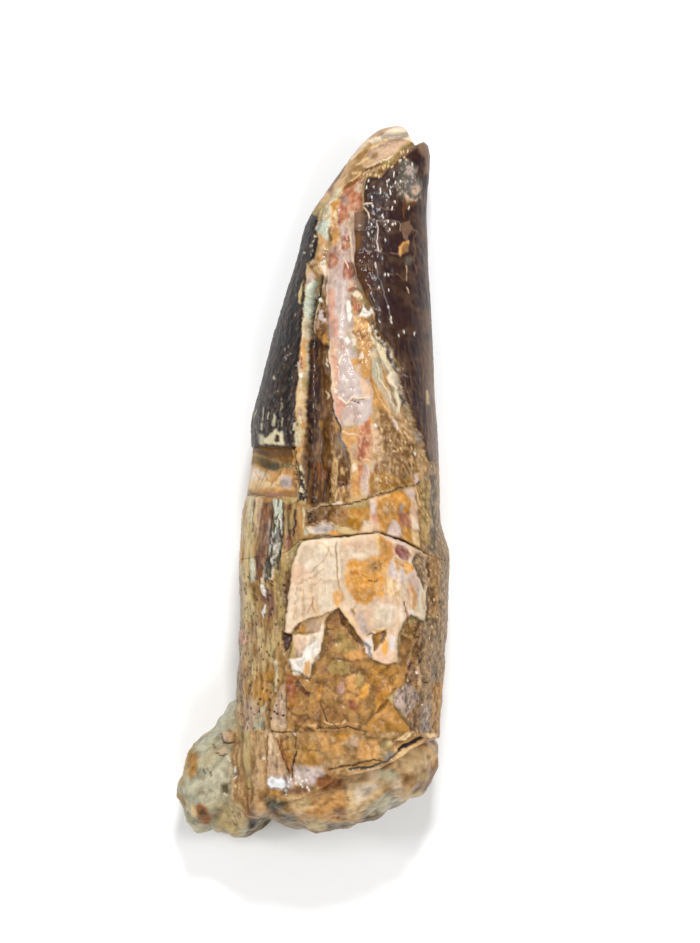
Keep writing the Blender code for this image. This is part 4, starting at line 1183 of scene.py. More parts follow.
def paint_left_root(skin):
    """The fibrous flank left of the plate: cream and greenish streaks, a plum strip and black pores."""
    flank = skin.patch(LEFT_FLANK, 0.1)
    skin.paint(flank, SAND, gloss=0.65, grain=0.45, fibre=0.5, craze=0.0)
    skin.mottle(flank, (0.8, 2.6, 0.8), 101, BUTTER, OCHRE, 0.6, 0.05)
    skin.lay(LEFT_ROOT_PATCHES, flank)
    skin.mottle(flank, (0.35, 1.4, 0.35), 102, BUTTER, UMBER, 0.35, 0.06)
    band = skin.patch(tenths(GREY_BAND), 0.2)
    skin.mottle(band, (0.3, 0.9, 0.3), 103, WHITE, PITCH, 0.6, 0.06)
    skin.draw(FLANK_LINES)
    lower = flank * smooth_step(-11.5, -14.0, skin.y)
    skin.scatter(lower, (0.75, 0.9, 0.75), 0.28, 104, 0.8, PITCH, -0.1)
    skin.roughen(flank, 0.1, (0.6, 2.6, 0.6), 105)


STAIN = [
    48, -112, 56, -108, 66, -112, 74, -108, 84, -104, 96, -102, 108, -104, 112, -112, 106, -118, 103, -124,
    103, -140, 100, -146, 102, -156, 96, -164, 86, -160, 84, -166, 76, -172, 68, -170, 62, -170, 56, -162,
    50, -152, 45, -140, 46, -126,
]
PLATE_PATCHES = [
    (IVORY, 0.4, 0, [-20, -84, 36, -77, 36, -120, 16, -116, -8, -130, -26, -130]),
    (SHELL, 0.3, -0.03, [-12, -88, 8, -83, 2, -104, -12, -116, -24, -110, -22, -94]),
    (BLUSH, 0.3, -0.03, [-30, -118, -16, -112, -6, -124, -12, -140, -24, -146, -31, -140]),
    (IVORY, 0.25, 0.03, [12, -92, 32, -84, 33, -136, 16, -138, 4, -116]),
    (IVORY, 0.3, 0, [14, -144, 30, -140, 26, -174, 12, -182, 6, -164]),
    (BLUSH, 0.5, 0, [42, -82, 84, -76, 88, -86, 66, -94, 44, -92]),
    (IVORY, 0.3, 0.02, [50, -96, 76, -104, 70, -111, 58, -108]),
    (BONE, 0.3, 0, [85, -74, 92, -72, 97, -84, 95, -98, 88, -94]),
    (AMBER, 0.35, 0, [92, -73, 116, -88, 116, -100, 104, -116, 95, -112]),
    (OCHRE, 0.25, 0, [96, -83, 103, -84, 105, -95, 98, -98]),
    (AMBER, 0.2, 0, [104, -86, 114, -90, 114, -100, 108, -106, 104, -98]),
    (MARIGOLD, 0.35, 0, STAIN),
    (APRICOT, 0.35, 0, [48, -118, 66, -114, 72, -122, 56, -140, 48, -134]),
    (SAFFRON, 0.2, 0, [51, -126, 58, -122, 66, -124, 65, -130, 55, -130]),
    (AMBER, 0.35, 0, [54, -150, 66, -156, 80, -146, 86, -150, 85, -164, 76, -171, 64, -169]),
    (OCHRE, 0.3, 0, [77, -112, 90, -107, 101, -110, 98, -122, 90, -130, 75, -126]),
    (BARK, 0.35, 0, [78, -110, 92, -114, 91, -124, 82, -124]),
    (BONE, 0.25, 0, [103, -120, 112, -124, 118, -138, 120, -156, 110, -162, 102, -152]),
    (LILAC, 0.15, 0.02, [106, -119, 110, -109, 114, -110, 118, -133, 112, -135, 106, -128]),
    (LILAC, 0.12, 0.02, [119, -124, 124, -120, 128, -130, 128, -140, 122, -140]),
    (MAUVE, 0.15, 0.04, [101, -78, 110, -77, 133, -85, 160, -103, 154, -106, 128, -87]),
    (SALMON, 0.15, 0, [110, -92, 115, -90, 116, -99, 112, -100]),
    (WINE, 0.15, 0, [115, -90, 121, -86, 130, -88, 139, -102, 136, -111, 128, -110, 121, -104, 115, -98]),
    (BONE, 0.12, 0.04, [134, -89, 139, -89, 140, -95, 137, -100]),
    (FAWN, 0.15, 0, [139, -94, 150, -100, 143, -104, 140, -112]),
    (AMBER, 0.15, 0, [114, -104, 143, -116, 144, -121, 130, -129, 128, -121, 124, -118, 120, -127]),
    (APRICOT, 0.15, 0.03, [131, -114, 140, -116, 140, -124, 134, -127, 130, -122]),
    (DRAB, 0.2, -0.3, [144, -99, 151, -98, 163, -104, 163, -142, 157, -151, 141, -112]),
    (MAUVE, 0.15, 0.03, [141, -124, 146, -122, 154, -150, 150, -182, 146, -176, 143, -150, 131, -146,
        130, -134]),
    (BLUSH, 0.12, 0, [129, -142, 138, -144, 138, -176, 132, -172]),
    (HONEY, 0.12, -0.03, [137, -142, 141, -142, 145, -156, 145, -178, 141, -180]),
    (PUMICE, 0.12, 0.03, [149, -152, 155, -146, 160, -184, 156, -194, 150, -188, 147, -178]),
    (SAND, 0.1, -0.03, [151, -156, 154, -156, 156, -176, 153, -178]),
    (DUNE, 0.12, 0, [118, -152, 124, -148, 128, -166, 122, -172]),
    (BLUSH, 0.3, 0, [86, -158, 96, -164, 104, -160, 118, -160, 126, -170, 108, -172, 90, -168]),
    (PEARL, 0.12, 0.05, [136, -180, 143, -178, 144, -196, 140, -208, 137, -206, 135, -194]),
    (ROSE, 0.12, -0.05, [129, -178, 133, -180, 136, -192, 135, -206, 128, -186]),
    (MARIGOLD, 0.15, 0.03, [26, -156, 35, -152, 40, -162, 34, -178, 29, -170]),
    (HONEY, 0.2, 0, [36, -144, 40, -148, 43, -164, 40, -174]),
    (BLUSH, 0.4, 0, [46, -180, 84, -176, 84, -212, 70, -222, 54, -204]),
    (MAUVE, 0.4, 0, [60, -186, 70, -180, 80, -210, 70, -214, 62, -200]),
    (BONE, 0.2, 0, [42, -176, 60, -198, 58, -206, 40, -180]),
    (SAND, 0.15, 0, [53, -177, 57, -176, 60, -184, 57, -188]),
    # This ivory patch is the pale boss's own colour and partly a painted highlight at its middle
    (IVORY, 0.5, 0.06, [90, -172, 106, -170, 124, -178, 126, -190, 112, -200, 98, -200, 88, -190]),
    (FAWN, 0.15, 0, [120, -198, 129, -193, 131, -206, 126, -212, 120, -208]),
    (AMBER, 0.12, -0.04, [84, -208, 104, -205, 103, -209, 89, -212]),
]
PLATE_LINES = [
    (DUNE, 0.06, -0.05, [-22, -146, 16, -120], [24, -90, 22, -102, -4, -126]),
    (HONEY, 0.06, -0.05, [4, -144, 13, -135]),
    (CORAL, 0.08, -0.05, [1, -160, 0, -170, -6, -183]),
    (HONEY, 0.08, -0.05, [0, -168, 5, -182]),
    (IVORY, 0.15, 0.05, [38, -80, 36, -110, 38, -134]),
    (DUNE, 0.08, -0.05, [34, -84, 33, -113, 35, -137, 38, -150]),
    (BONE, 0.08, -0.05, [4, -84, 16, -88, 24, -94, 28, -106]),
    (UMBER, 0.1, -0.05, [87, -120, 90, -120]),
    (OCHRE, 0.1, 0, [70, -130, 76, -133]),
    (UMBER, 0.08, 0, [79, -137, 84, -138]),
    (UMBER, 0.08, -0.05, [87, -139, 91, -138, 92, -134]),
    (HONEY, 0.06, 0, [103, -124, 104, -168], [114, -136, 118, -166], [-12, -150, -14, -186], [-22, -148,
        -26, -192]),
    (DUNE, 0.06, 0, [124, -138, 128, -150]),
    (BONE, 0.06, 0, [-4, -146, -4, -168]),
    (RUST, 0.08, -0.1, [127, -167, 133, -184, 135, -206]),
    (IVORY, 0.06, 0.05, [148, -182, 151, -190, 156, -194]),
    (UMBER, 0.08, -0.1, [76, -216, 82, -213, 88, -215]),
]
PLATE_CORNER = tenths([144, -99, 151, -98, 163, -104, 163, -142, 157, -151, 145, -122])


def paint_plate(skin):
    """The thick pale plate over the root, cream on the left, with an orange stain and lilac streaks."""
    plate = skin.patch(PLATE, 0.12)
    skin.paint(plate, SHELL, gloss=0.6, grain=0.1, fibre=0.12, craze=0.0)
    skin.lay(PLATE_PATCHES, plate)
    stripes = plate * smooth_step(-12.0, -16.0, skin.y) * np.maximum(smooth_step(4.0, 2.0, skin.x),
                                                                    smooth_step(10.4, 11.4, skin.x))
    skin.mottle(stripes, (0.4, 6.0, 0.4), 111, IVORY, HONEY, 0.4, 0.03)
    stain = skin.patch(tenths(STAIN), 0.8)
    skin.mottle(stain, 1.4, 112, APRICOT, OCHRE, 0.3, 0.03)
    skin.mottle(stain, 0.25, 115, BONE, RUST, 0.25, 0.02)
    skin.mottle(plate, (0.9, 1.6, 0.9), 113, IVORY, BLUSH, 0.2, 0.03)
    brown = skin.patch(PLATE_CORNER, 0.2)
    skin.mottle(brown, 0.35, 114, DUNE, UMBER, 0.7, 0.06)
    skin.draw(PLATE_LINES)


PALE_FLAKE = [
    -28, -214, -6, -215, 9, -210, 17, -194, 15, -210, 13, -220, 10, -246, -2, -256, -5, -273, -10, -274,
    -13, -266, -16, -272, -26, -271, -31, -260, -34, -250, -20, -245,
]
FLAKE_PATCHES = [
    (DUNE, 0.08, 0, [-25, -202, -11, -193, 26, -184, 18, -194, 16, -206, 12, -211, -8, -213, -23, -210]),
    (FAWN, 0.2, 0, [-6, -196, 16, -192, 12, -208, -6, -210]),
    (RUST, 0.1, -0.12, [-26, -204, -14, -195, -17, -204, -23, -209]),
    (OCHRE, 0.15, 0, [-19, -204, -12, -198, -8, -206, -12, -213, -20, -212]),
    (IVORY, 0.1, 0.05, PALE_FLAKE),
    (BLUSH, 0.3, 0, [-28, -214, -8, -216, -12, -234, -24, -240]),
    (WHITE, 0.15, 0.06, [-12, -234, 4, -222, 8, -240, -8, -254, -14, -268, -24, -268, -31, -252,
        -20, -246]),
    (FAWN, 0.1, -0.03, [-22, -236, -14, -240, -16, -246, -24, -244]),
    (HONEY, 0.12, 0, [-11, -252, -5, -249, -4, -266, -9, -273, -12, -266]),
    (UMBER, 0.1, -0.3, [-43, -209, -29, -212, -34, -234, -39, -239, -44, -222]),
    (PEARL, 0.1, 0, [70, -222, 81, -219, 84, -228, 84, -246, 76, -239]),
    (OCHRE, 0.1, -0.3, [82, -216, 100, -207, 104, -212, 101, -224, 96, -226, 87, -238]),
    (BARK, 0.15, -0.05, [96, -208, 102, -207, 100, -223, 97, -222]),
    (BLUSH, 0.1, 0, [85, -240, 95, -227, 103, -222, 107, -206, 119, -213, 118, -252, 101, -254, 87, -249]),
    (APRICOT, 0.15, 0, [98, -227, 105, -218, 106, -234, 101, -243, 97, -238]),
    (PEARL, 0.15, 0.03, [109, -214, 117, -216, 116, -236, 109, -234]),
]


def paint_flakes(skin):
    """The white flake, the bevel above it, and the plate's two tongues with the hole between them."""
    skin.lay(FLAKE_PATCHES, gloss=0.6, grain=0.1, fibre=0.1, craze=0.0)
    flake = skin.patch(tenths(PALE_FLAKE), 0.1)
    skin.mottle(flake, (0.35, 1.6, 0.5), 121, WHITE, DUNE, 0.3, 0.05)


CORE = tenths([
    -37, -236, -30, -266, -4, -274, 10, -240, 20, -194, 32, -179, 38, -177, 58, -206, 72, -224, 85, -249,
    119, -253, 124, -212, 140, -220, 134, -254, 129, -284, 114, -292, 106, -304, 138, -348, 124, -360,
    -36, -348,
])
TAN_FACET = [88, -325, 104, -314, 112, -314, 137, -348, 130, -354, 116, -360, 96, -360, 75, -354, 76, -340]
CORE_PATCHES = [
    (BARK, 0.25, 0.1, [14, -240, 22, -198, 32, -181, 39, -190, 28, -240]),
    (UMBER, 0.15, -0.15, [36, -180, 42, -182, 52, -202, 68, -222, 66, -229, 40, -198]),
    (OCHRE, 0.2, 0, [46, -194, 74, -228, 54, -210]),
    (KHAKI, 0.3, 0, [30, -214, 40, -206, 64, -232, 48, -242, 32, -232]),
    (HONEY, 0.3, 0.1, [44, -240, 66, -234, 74, -244, 64, -250, 48, -248]),
    (KHAKI, 0.3, 0.1, [21, -254, 34, -246, 54, -254, 52, -268, 36, -270, 22, -266]),
    (PLUM, 0.25, 0, [12, -256, 20, -254, 21, -269, 11, -270]),
    (RUST, 0.2, 0, [-37, -269, -24, -272, -18, -286, -22, -310, -30, -318, -36, -300]),
    (BRICK, 0.25, 0, [-34, -280, -26, -282, -28, -300, -33, -296]),
    (SAND, 0.2, 0.08, [-18, -280, -4, -276, 8, -284, 6, -296, -8, -292]),
    (DUNE, 0.08, 0.04, [-19, -280, -12, -284, -6, -292, -10, -292]),
    (UMBER, 0.15, -0.08, [-24, -274, -4, -294, -6, -299, -18, -292, -24, -282]),
    (AMBER, 0.2, 0.08, [6, -292, 12, -282, 12, -308, 8, -306]),
    (SAND, 0.3, 0.1, [16, -288, 28, -284, 30, -300, 18, -304]),
    (ROSE, 0.2, 0, [32, -292, 44, -273, 43, -296, 35, -298]),
    (HONEY, 0.4, 0, [46, -270, 60, -268, 60, -288, 76, -280, 78, -302, 62, -310, 44, -310]),
    (APRICOT, 0.25, 0.1, [64, -292, 74, -282, 78, -286, 76, -302, 66, -304]),
    (KHAKI, 0.25, 0.15, [58, -272, 66, -266, 72, -272, 70, -286, 62, -288]),
    (OCHRE, 0.3, 0, [78, -256, 116, -260, 124, -276, 114, -290, 82, -284]),
    (AMBER, 0.3, 0.05, [96, -292, 106, -280, 113, -289, 92, -314, 88, -304]),
    (RUST, 0.2, 0, [90, -288, 98, -286, 96, -296, 90, -296]),
    (APRICOT, 0.15, 0.1, [86, -322, 94, -310, 98, -308, 92, -320]),
    (BARK, 0.25, 0, [2, -312, 16, -306, 26, -322, 16, -332, 2, -328]),
    (BRICK, 0.3, 0, [50, -308, 62, -306, 62, -318, 50, -318]),
    (OCHRE, 0.12, -0.2, [88, -323, 108, -303, 111, -290, 126, -288, 102, -316, 94, -323]),
    (OCHRE, 0.1, 0.15, TAN_FACET),
    (HONEY, 0.25, 0, [86, -328, 104, -316, 114, -324, 118, -338]),
    (BARK, 0.2, 0.05, [-30, -330, -14, -326, -9, -342, -26, -344]),
    (DUNE, 0.1, 0.1, [-6, -339, 6, -338, 6, -343, -6, -343]),
    (UMBER, 0.15, -0.15, [-15, -344, -4, -342, 5, -349, -8, -352]),
]
CORE_LINES = [
    (BONE, 0.08, 0.05, [16, -334, 24, -338, 36, -337], [40, -338, 45, -335]),
    (UMBER, 0.1, -0.1, [12, -312, 20, -334]),
    (UMBER, 0.1, -0.15, [8, -345, 48, -343], [48, -343, 72, -350]),
    (BARK, 0.08, -0.1, [-36, -314, -28, -324, -20, -328, -8, -326]),
]


def paint_core(skin):
    """The bare mineral core below the plate: broad broken facets of ochre, rust, olive and amber."""
    core = skin.patch(CORE, 0.12)
    skin.paint(core, SAND, gloss=0.7, grain=0.35, fibre=0.0, craze=0.0)
    skin.mottle(core, 2.2, 131, OCHRE, BARK, 0.5, 0.12)
    skin.lay(CORE_PATCHES, core)
    lumps, draw = cell_lumps(skin.place, (2.4, 2.0, 2.4), 132, want_draw=True)
    rough = core * (1.0 - 0.85 * skin.patch(tenths(TAN_FACET), 0.2))
    skin.relief += rough * (0.2 * (lumps - 0.7) + 0.2 * (draw - 0.5) * smooth_step(0.3, 0.8, lumps))
    skin.roughen(rough, 0.12, 0.9, 134)
    skin.tint(rough * 0.15 * (draw - 0.5))
    skin.mottle(rough, 0.8, 133, HONEY, RUST, 0.3, 0.06)
    skin.draw(CORE_LINES)


RIGHT_ROOT = tenths([
    164, 26, 200, 26, 200, -364, 168, -360, 136, -354, 136, -336, 114, -312, 112, -292, 129, -284,
    134, -254, 140, -220, 124, -206, 129, -198, 154, -194, 160, -140, 153, -96, 148, -40, 146, -4,
])
RIGHT_ROOT_PATCHES = [
    (DRAB, 0.3, 0, [162, 28, 184, 28, 184, -100, 166, -100]),
    (SLATE, 0.3, -0.05, [164, 10, 173, 10, 175, -86, 169, -104]),
    (KHAKI, 0.3, 0.04, [148, -6, 162, 6, 164, -86, 156, -90]),
    (BARK, 0.3, 0, [148, -96, 162, -98, 166, -140, 157, -136, 150, -118]),
    (SAND, 0.4, 0, [164, -100, 178, -100, 176, -190, 162, -190]),
    (UMBER, 0.3, -0.05, [164, -146, 170, -148, 171, -176, 166, -176]),
    (UMBER, 0.4, 0, [142, -190, 154, -196, 154, -234, 144, -246, 138, -220]),
    (PLUM, 0.4, 0, [130, -254, 142, -252, 142, -284, 132, -284]),
    (HEATHER, 0.2, 0.06, [108, -302, 120, -290, 135, -282, 147, -292, 149, -306, 130, -332, 118, -325]),
    (MAUVE, 0.2, 0.04, [114, -304, 126, -298, 130, -314, 120, -320]),
    (COCOA, 0.3, 0, [134, -332, 146, -318, 150, -330, 148, -352, 138, -350]),
    (HEATHER, 0.3, 0, [152, -310, 164, -310, 164, -348, 152, -352]),
    (OCHRE, 0.3, 0, [166, -280, 200, -280, 200, -356, 167, -356]),
    (FAWN, 0.15, 0.04, [146, -256, 150, -256, 151, -284, 147, -284]),
]
RIGHT_ROOT_LINES = [
    (WHITE, 0.15, 0.1, [145, -265, 145, -267]),
    (CHOCOLATE, 0.15, -0.1, [138, -253, 137, -258]),
    (PITCH, 0.12, -0.1, [157, -280, 158, -281], [150, -250, 150, -252]),
    (PITCH, 0.15, -0.1, [179, -167, 179, -169]),
    (CHOCOLATE, 0.12, -0.1, [170, -268, 170, -271]),
    (UMBER, 0.1, -0.1, [150, -60, 152, -92, 159, -110, 164, -136]),
]


def paint_right_root(skin):
    """The grey-brown granular flank right of the plate, with pores between its fibres."""
    flank = skin.patch(RIGHT_ROOT, 0.2)
    skin.paint(flank, DRAB, gloss=0.5, grain=0.8, fibre=0.15, craze=0.0)
    inner = flank * smooth_step(15.6, 14.2, skin.x) * smooth_step(-18.0, -20.0, skin.y)
    skin.paint(inner, SAND)
    skin.lay(RIGHT_ROOT_PATCHES, flank)
    skin.mottle(flank, (0.4, 0.6, 0.4), 141, DUNE, UMBER, 0.5, 0.07)
    skin.scatter(flank, (0.7, 0.9, 0.7), 0.26, 142, 0.3, BONE, 0.06)
    skin.scatter(flank, (0.8, 1.0, 0.8), 0.24, 143, 0.25, PITCH, -0.1)
    skin.draw(RIGHT_ROOT_LINES)


BASE_PATCHES = [
    (DUNE, 0.4, 0.04, [-84, -354, -63, -352, -60, -380, -70, -440, -82, -434]),
    (FAWN, 0.4, 0.06, [-63, -350, -48, -354, -46, -376, -36, -406, -44, -414, -62, -412]),
    (SHELL, 0.15, 0.05, [-61, -352, -56, -354, -55, -380, -60, -384]),
    (RUST, 0.32, 0, [-53, -358, -38, -360, -30, -396, -32, -410]),
    (OCHRE, 0.4, 0, [-40, -366, -26, -366, -26, -384, -32, -392]),
    (SAND, 0.32, 0.04, [-24, -350, -8, -352, -14, -368, -24, -374]),
    (OCHRE, 0.6, 0, [-24, -384, 0, -363, 9, -365, 6, -378, 11, -388, 3, -399, -9, -397]),
    (HONEY, 0.4, 0.08, [8, -354, 16, -352, 23, -364, 20, -376, 11, -376]),
    (HONEY, 0.48, 0.04, [24, -364, 38, -362, 44, -376, 32, -386, 24, -378]),
    (AMBER, 0.48, 0, [32, -350, 54, -350, 52, -362, 34, -362]),
    (FAWN, 0.32, 0.06, [52, -354, 64, -356, 62, -370, 52, -368]),
    (HONEY, 0.48, 0.05, [64, -362, 90, -360, 94, -376, 88, -390, 64, -386]),
    (KHAKI, 0.48, 0, [94, -370, 108, -364, 116, -372, 108, -388, 96, -390]),
    (BUTTER, 0.32, 0.05, [98, -366, 108, -360, 112, -366, 102, -374]),
    (BARK, 0.4, 0, [110, -360, 120, -361, 122, -370, 112, -372]),
    (BONE, 0.12, 0.2, [115, -362, 137, -347, 136, -356, 129, -363]),
    (ASH, 0.4, 0, [104, -380, 118, -374, 122, -380, 98, -396]),
    (LILAC, 0.48, 0.06, [-26, -398, 12, -400, 16, -414, 2, -424, -26, -422]),
    # This pale lilac round the painted highlight is partly the rock's colour and partly a painted glow round
    # that highlight
    (LILAC, 0.32, 0, [-62, -412, -30, -410, -28, -430, -60, -432]),
    (PLUM, 0.48, 0, [-36, -430, -6, -426, -4, -436, -32, -440]),
    (HONEY, 0.6, 0, [-38, -440, 26, -430, 48, -436, 52, -466, 26, -484, -4, -486, -25, -464]),
    (BONE, 0.56, 0.05, [-36, -440, -6, -438, -2, -456, -16, -464, -32, -456]),
    (RUST, 0.48, -0.04, [4, -414, 44, -412, 42, -426, 16, -430, 4, -424]),
    (BARK, 0.48, 0, [-79, -432, -62, -432, -64, -448, -78, -448]),
    (DUNE, 0.4, 0.05, [-82, -450, -68, -448, -64, -462, -78, -470]),
    (SLATE, 0.48, -0.08, [-66, -442, -40, -446, -38, -456, -56, -462, -64, -454]),
    (OCHRE, 0.15, 0.05, [-60, -432, -46, -432, -46, -439, -60, -439]),
    (RUST, 0.4, 0, [30, -456, 44, -454, 50, -466, 36, -469]),
    (BONE, 0.6, 0, [48, -420, 66, -412, 98, -412, 106, -422, 68, -466, 46, -476]),
    (IVORY, 0.48, 0.04, [58, -426, 82, -420, 96, -424, 76, -444, 60, -452]),
    (DUNE, 0.4, 0, [48, -404, 78, -406, 76, -414, 50, -418]),
    (SHELL, 0.48, 0, [78, -404, 94, -402, 98, -414, 82, -418]),
    (STRAW, 0.4, 0, [92, -400, 114, -404, 124, -412, 110, -422, 96, -414]),
    (PUMICE, 0.6, 0, [72, -466, 88, -446, 106, -434, 132, -448, 104, -464]),
    (CLAY, 0.56, 0, [88, -450, 100, -444, 104, -452, 92, -459]),
    (SHELL, 0.48, 0, [108, -422, 122, -416, 130, -430, 126, -442, 114, -440]),
    (BONE, 0.4, 0.12, [112, -389, 126, -382, 140, -386, 148, -394, 136, -404, 120, -408, 112, -402]),
    (HONEY, 0.48, 0, [114, -372, 140, -364, 170, -370, 172, -398, 140, -408, 118, -404]),
    (RUST, 0.32, 0, [138, -372, 154, -362, 174, -358, 172, -368, 156, -368, 144, -382]),
    (APRICOT, 0.4, 0.15, [149, -368, 164, -365, 169, -374, 158, -384, 149, -378]),
    (BONE, 0.15, 0.15, [156, -349, 170, -348, 171, -358, 160, -357]),
    (BARK, 0.6, 0, [130, -410, 180, -390, 180, -420, 151, -438, 134, -426]),
    (KHAKI, 0.48, 0.06, [144, -414, 158, -408, 162, -416, 150, -422]),
    (BUTTER, 0.48, 0.04, [132, -434, 148, -432, 160, -436, 142, -452, 129, -450], [-12, -472, 16, -472,
        22, -486, 0, -492, -10, -484]),
    (MOSS, 0.4, -0.1, [-94, -476, -62, -466, -58, -476, -72, -494, -96, -504]),
    (CHOCOLATE, 0.4, -0.08, [-88, -478, -66, -470, -72, -482, -86, -489]),
    (MOSS, 0.48, -0.08, [-52, -464, -38, -462, -24, -466, -20, -476, -44, -479]),
    (DRAB, 0.4, 0, [-30, -479, -6, -476, -8, -492, -36, -490]),
    (MOSS, 0.32, 0, [20, -479, 62, -476, 50, -490, 20, -496]),
    (MOSS, 0.32, -0.06, [68, -470, 102, -460, 104, -470, 70, -480]),
    (BONE, 0.7, 0.04, [116, -396, 122, -378, 136, -369, 152, -366, 168, -376, 166, -394, 150, -408,
        128, -406]),
]
BASE_LINES = [
    (CHOCOLATE, 0.1, -0.15, [-22, -376, -29, -400, -30, -414]),
    (UMBER, 0.08, -0.1, [-24, -348, -23, -372], [-50, -358, -33, -408]),
    (IVORY, 0.12, 0.1, [-25, -352, -24, -356]),
    (BARK, 0.08, -0.1, [-62, -356, -62, -408]),
    (UMBER, 0.1, -0.1, [-58, -349, -32, -350]),
    (UMBER, 0.12, -0.1, [22, -403, 86, -389, 96, -392]),
    (SLATE, 0.15, -0.25, [50, -402, 60, -399, 75, -401, 90, -397]),
    (DRAB, 0.15, -0.2, [90, -397, 105, -392, 123, -375]),
    (CHOCOLATE, 0.25, -0.3, [123, -374, 152, -357]),
    (BARK, 0.08, -0.05, [50, -446, 46, -432, 52, -420]),
    (IVORY, 0.1, 0.1, [-68, -386, -66, -389]),
]
# A painted highlight: a glossy near-white spot
GLEAM = [(-6.3, -42.3), (-6.2, -41.6), (-5.7, -41.35), (-5.0, -41.5), (-4.5, -41.3), (-4.0, -41.8),
         (-3.7, -42.5), (-4.2, -42.9), (-5.0, -42.7), (-5.9, -42.95)]
PAINTED_GLINTS = tenths([
    -34, -419, -31, -416, -35, -426, -23, -422, -16, -423, -14, -419, -8, -417, -24, -412, -19, -414,
    -7, -427, -6, -431, -38, -432, -37, -437, -14, -427,
])
BASE = tenths([-86, -350, -60, -346, 136, -350, 200, -354, 200, -520, -94, -520, -86, -440])


def paint_base(skin):
    """The foot of the root and the rock ledge round it, the seams between them, a painted highlight and
    painted glints beside it.
    """
    base = skin.patch(BASE, 0.25)
    skin.paint(base, SAND, gloss=0.7, grain=0.3, fibre=0.0, craze=0.0)
    skin.mottle(base, 1.8, 151, BONE, BARK, 0.3, 0.12)
    skin.lay(BASE_PATCHES, base)
    skin.mottle(base, 0.7, 152, BONE, BARK, 0.2, 0.06)
    left = base * smooth_step(-2.4, -3.4, skin.x) * smooth_step(-42.4, -41.0, skin.y)
    skin.mottle(left, (0.3, 2.0, 0.3), 153, BONE, BARK, 0.4, 0.06)
    skin.roughen(base, 0.12, 1.3, 154)
    skin.draw(BASE_LINES)
    # A painted highlight, and painted glints beside it
    skin.paint(skin.patch(GLEAM, 0.15), GLARE, lift=0.1, gloss=1.0, grain=0.0)
    skin.dash(PAINTED_GLINTS, WHITE, 0.12, 0.08, 0.08)


# ---------------------------------------------------------------- cracks, back and finishing

CRACK_LINES = [
    (UMBER, 0.06, -0.1, [10, -36, 26, -33, 40, -33, 52, -30]),
    (CHOCOLATE, 0.06, -0.2, [52, -30, 65, -27, 97, -15]),
    (CHOCOLATE, 0.06, -0.25, [97, -15, 112, -12, 120, -6, 144, -6, 150, -1]),
    (BARK, 0.06, -0.15, [-20, -80, 2, -78]),
    (COCOA, 0.08, -0.3, [2, -78, 8, -76, 35, -76, 55, -73]),
    (BARK, 0.08, -0.2, [55, -73, 92, -70, 103, -75]),
    (UMBER, 0.08, -0.3, [103, -75, 122, -80]),
    (PITCH, 0.12, -0.3, [116, -79, 134, -83]),
    (UMBER, 0.08, -0.25, [133, -83, 153, -96]),
]


def open_cracks(skin):
    """The cracks: a hairline right round the tooth, wider in front, and one across the crown's foot."""
    place_x, place_y = skin.place[..., 0], skin.place[..., 1]
    for line, facing_side in ((FRONT_BREAK, skin.facing > 0), (BACK_BREAK, skin.facing <= 0)):
        away = np.abs(place_y - np.interp(place_x, line[:, 0], line[:, 1]))
        open_here = facing_side * smooth_step(0.14, 0.03, away + 0.08 * value_noise(skin.place, 0.8, 161))
        skin.paint(0.35 * open_here, BARK, lift=-0.08, gloss=0.3)
    skin.draw(CRACK_LINES, gloss=0.3)


def paint_back(skin):
    """The hidden side: the same enamel over a cream and ochre fibrous root with pores."""
    hidden = 1.0 - skin.front - skin.back_enamel
    skin.paint(hidden, KHAKI, gloss=0.6, grain=0.5, fibre=0.5, craze=0.0)
    skin.mottle(hidden, (2.4, 6.0, 2.4), 171, DUNE, BARK, 0.7, 0.1)
    skin.mottle(hidden, (0.6, 2.8, 0.6), 172, STRAW, UMBER, 0.5, 0.07)
    skin.scatter(hidden, (0.9, 1.1, 0.9), 0.24, 173, 0.45, PITCH, -0.12)
    skin.roughen(hidden, 0.1, (0.5, 3.0, 0.5), 174)


def weather_and_shade(skin):
    """Fine variation over everything, with painted shade in the low places and painted highlight on the
    crests.
    """
    skin.tint(0.06 * skin.noise(0.35, 181, 3) + 0.05 * skin.noise(1.5, 182))
    skin.tint(0.1 * skin.finish["fibre"] * skin.noise((0.22, 2.0, 0.22), 183, 3))
    skin.paint_crease_shade(0.45)


# ---------------------------------------------------------------- the rock's surface

def outward(points):
    """Unit normals of a grid of rings that are closed along the second axis."""
    along = np.gradient(points, axis=0)
    around = np.roll(points, -1, axis=1) - np.roll(points, 1, axis=1)
    normal = np.cross(along, around)
    return normal / np.maximum(np.linalg.norm(normal, axis=-1, keepdims=True), 1e-9)


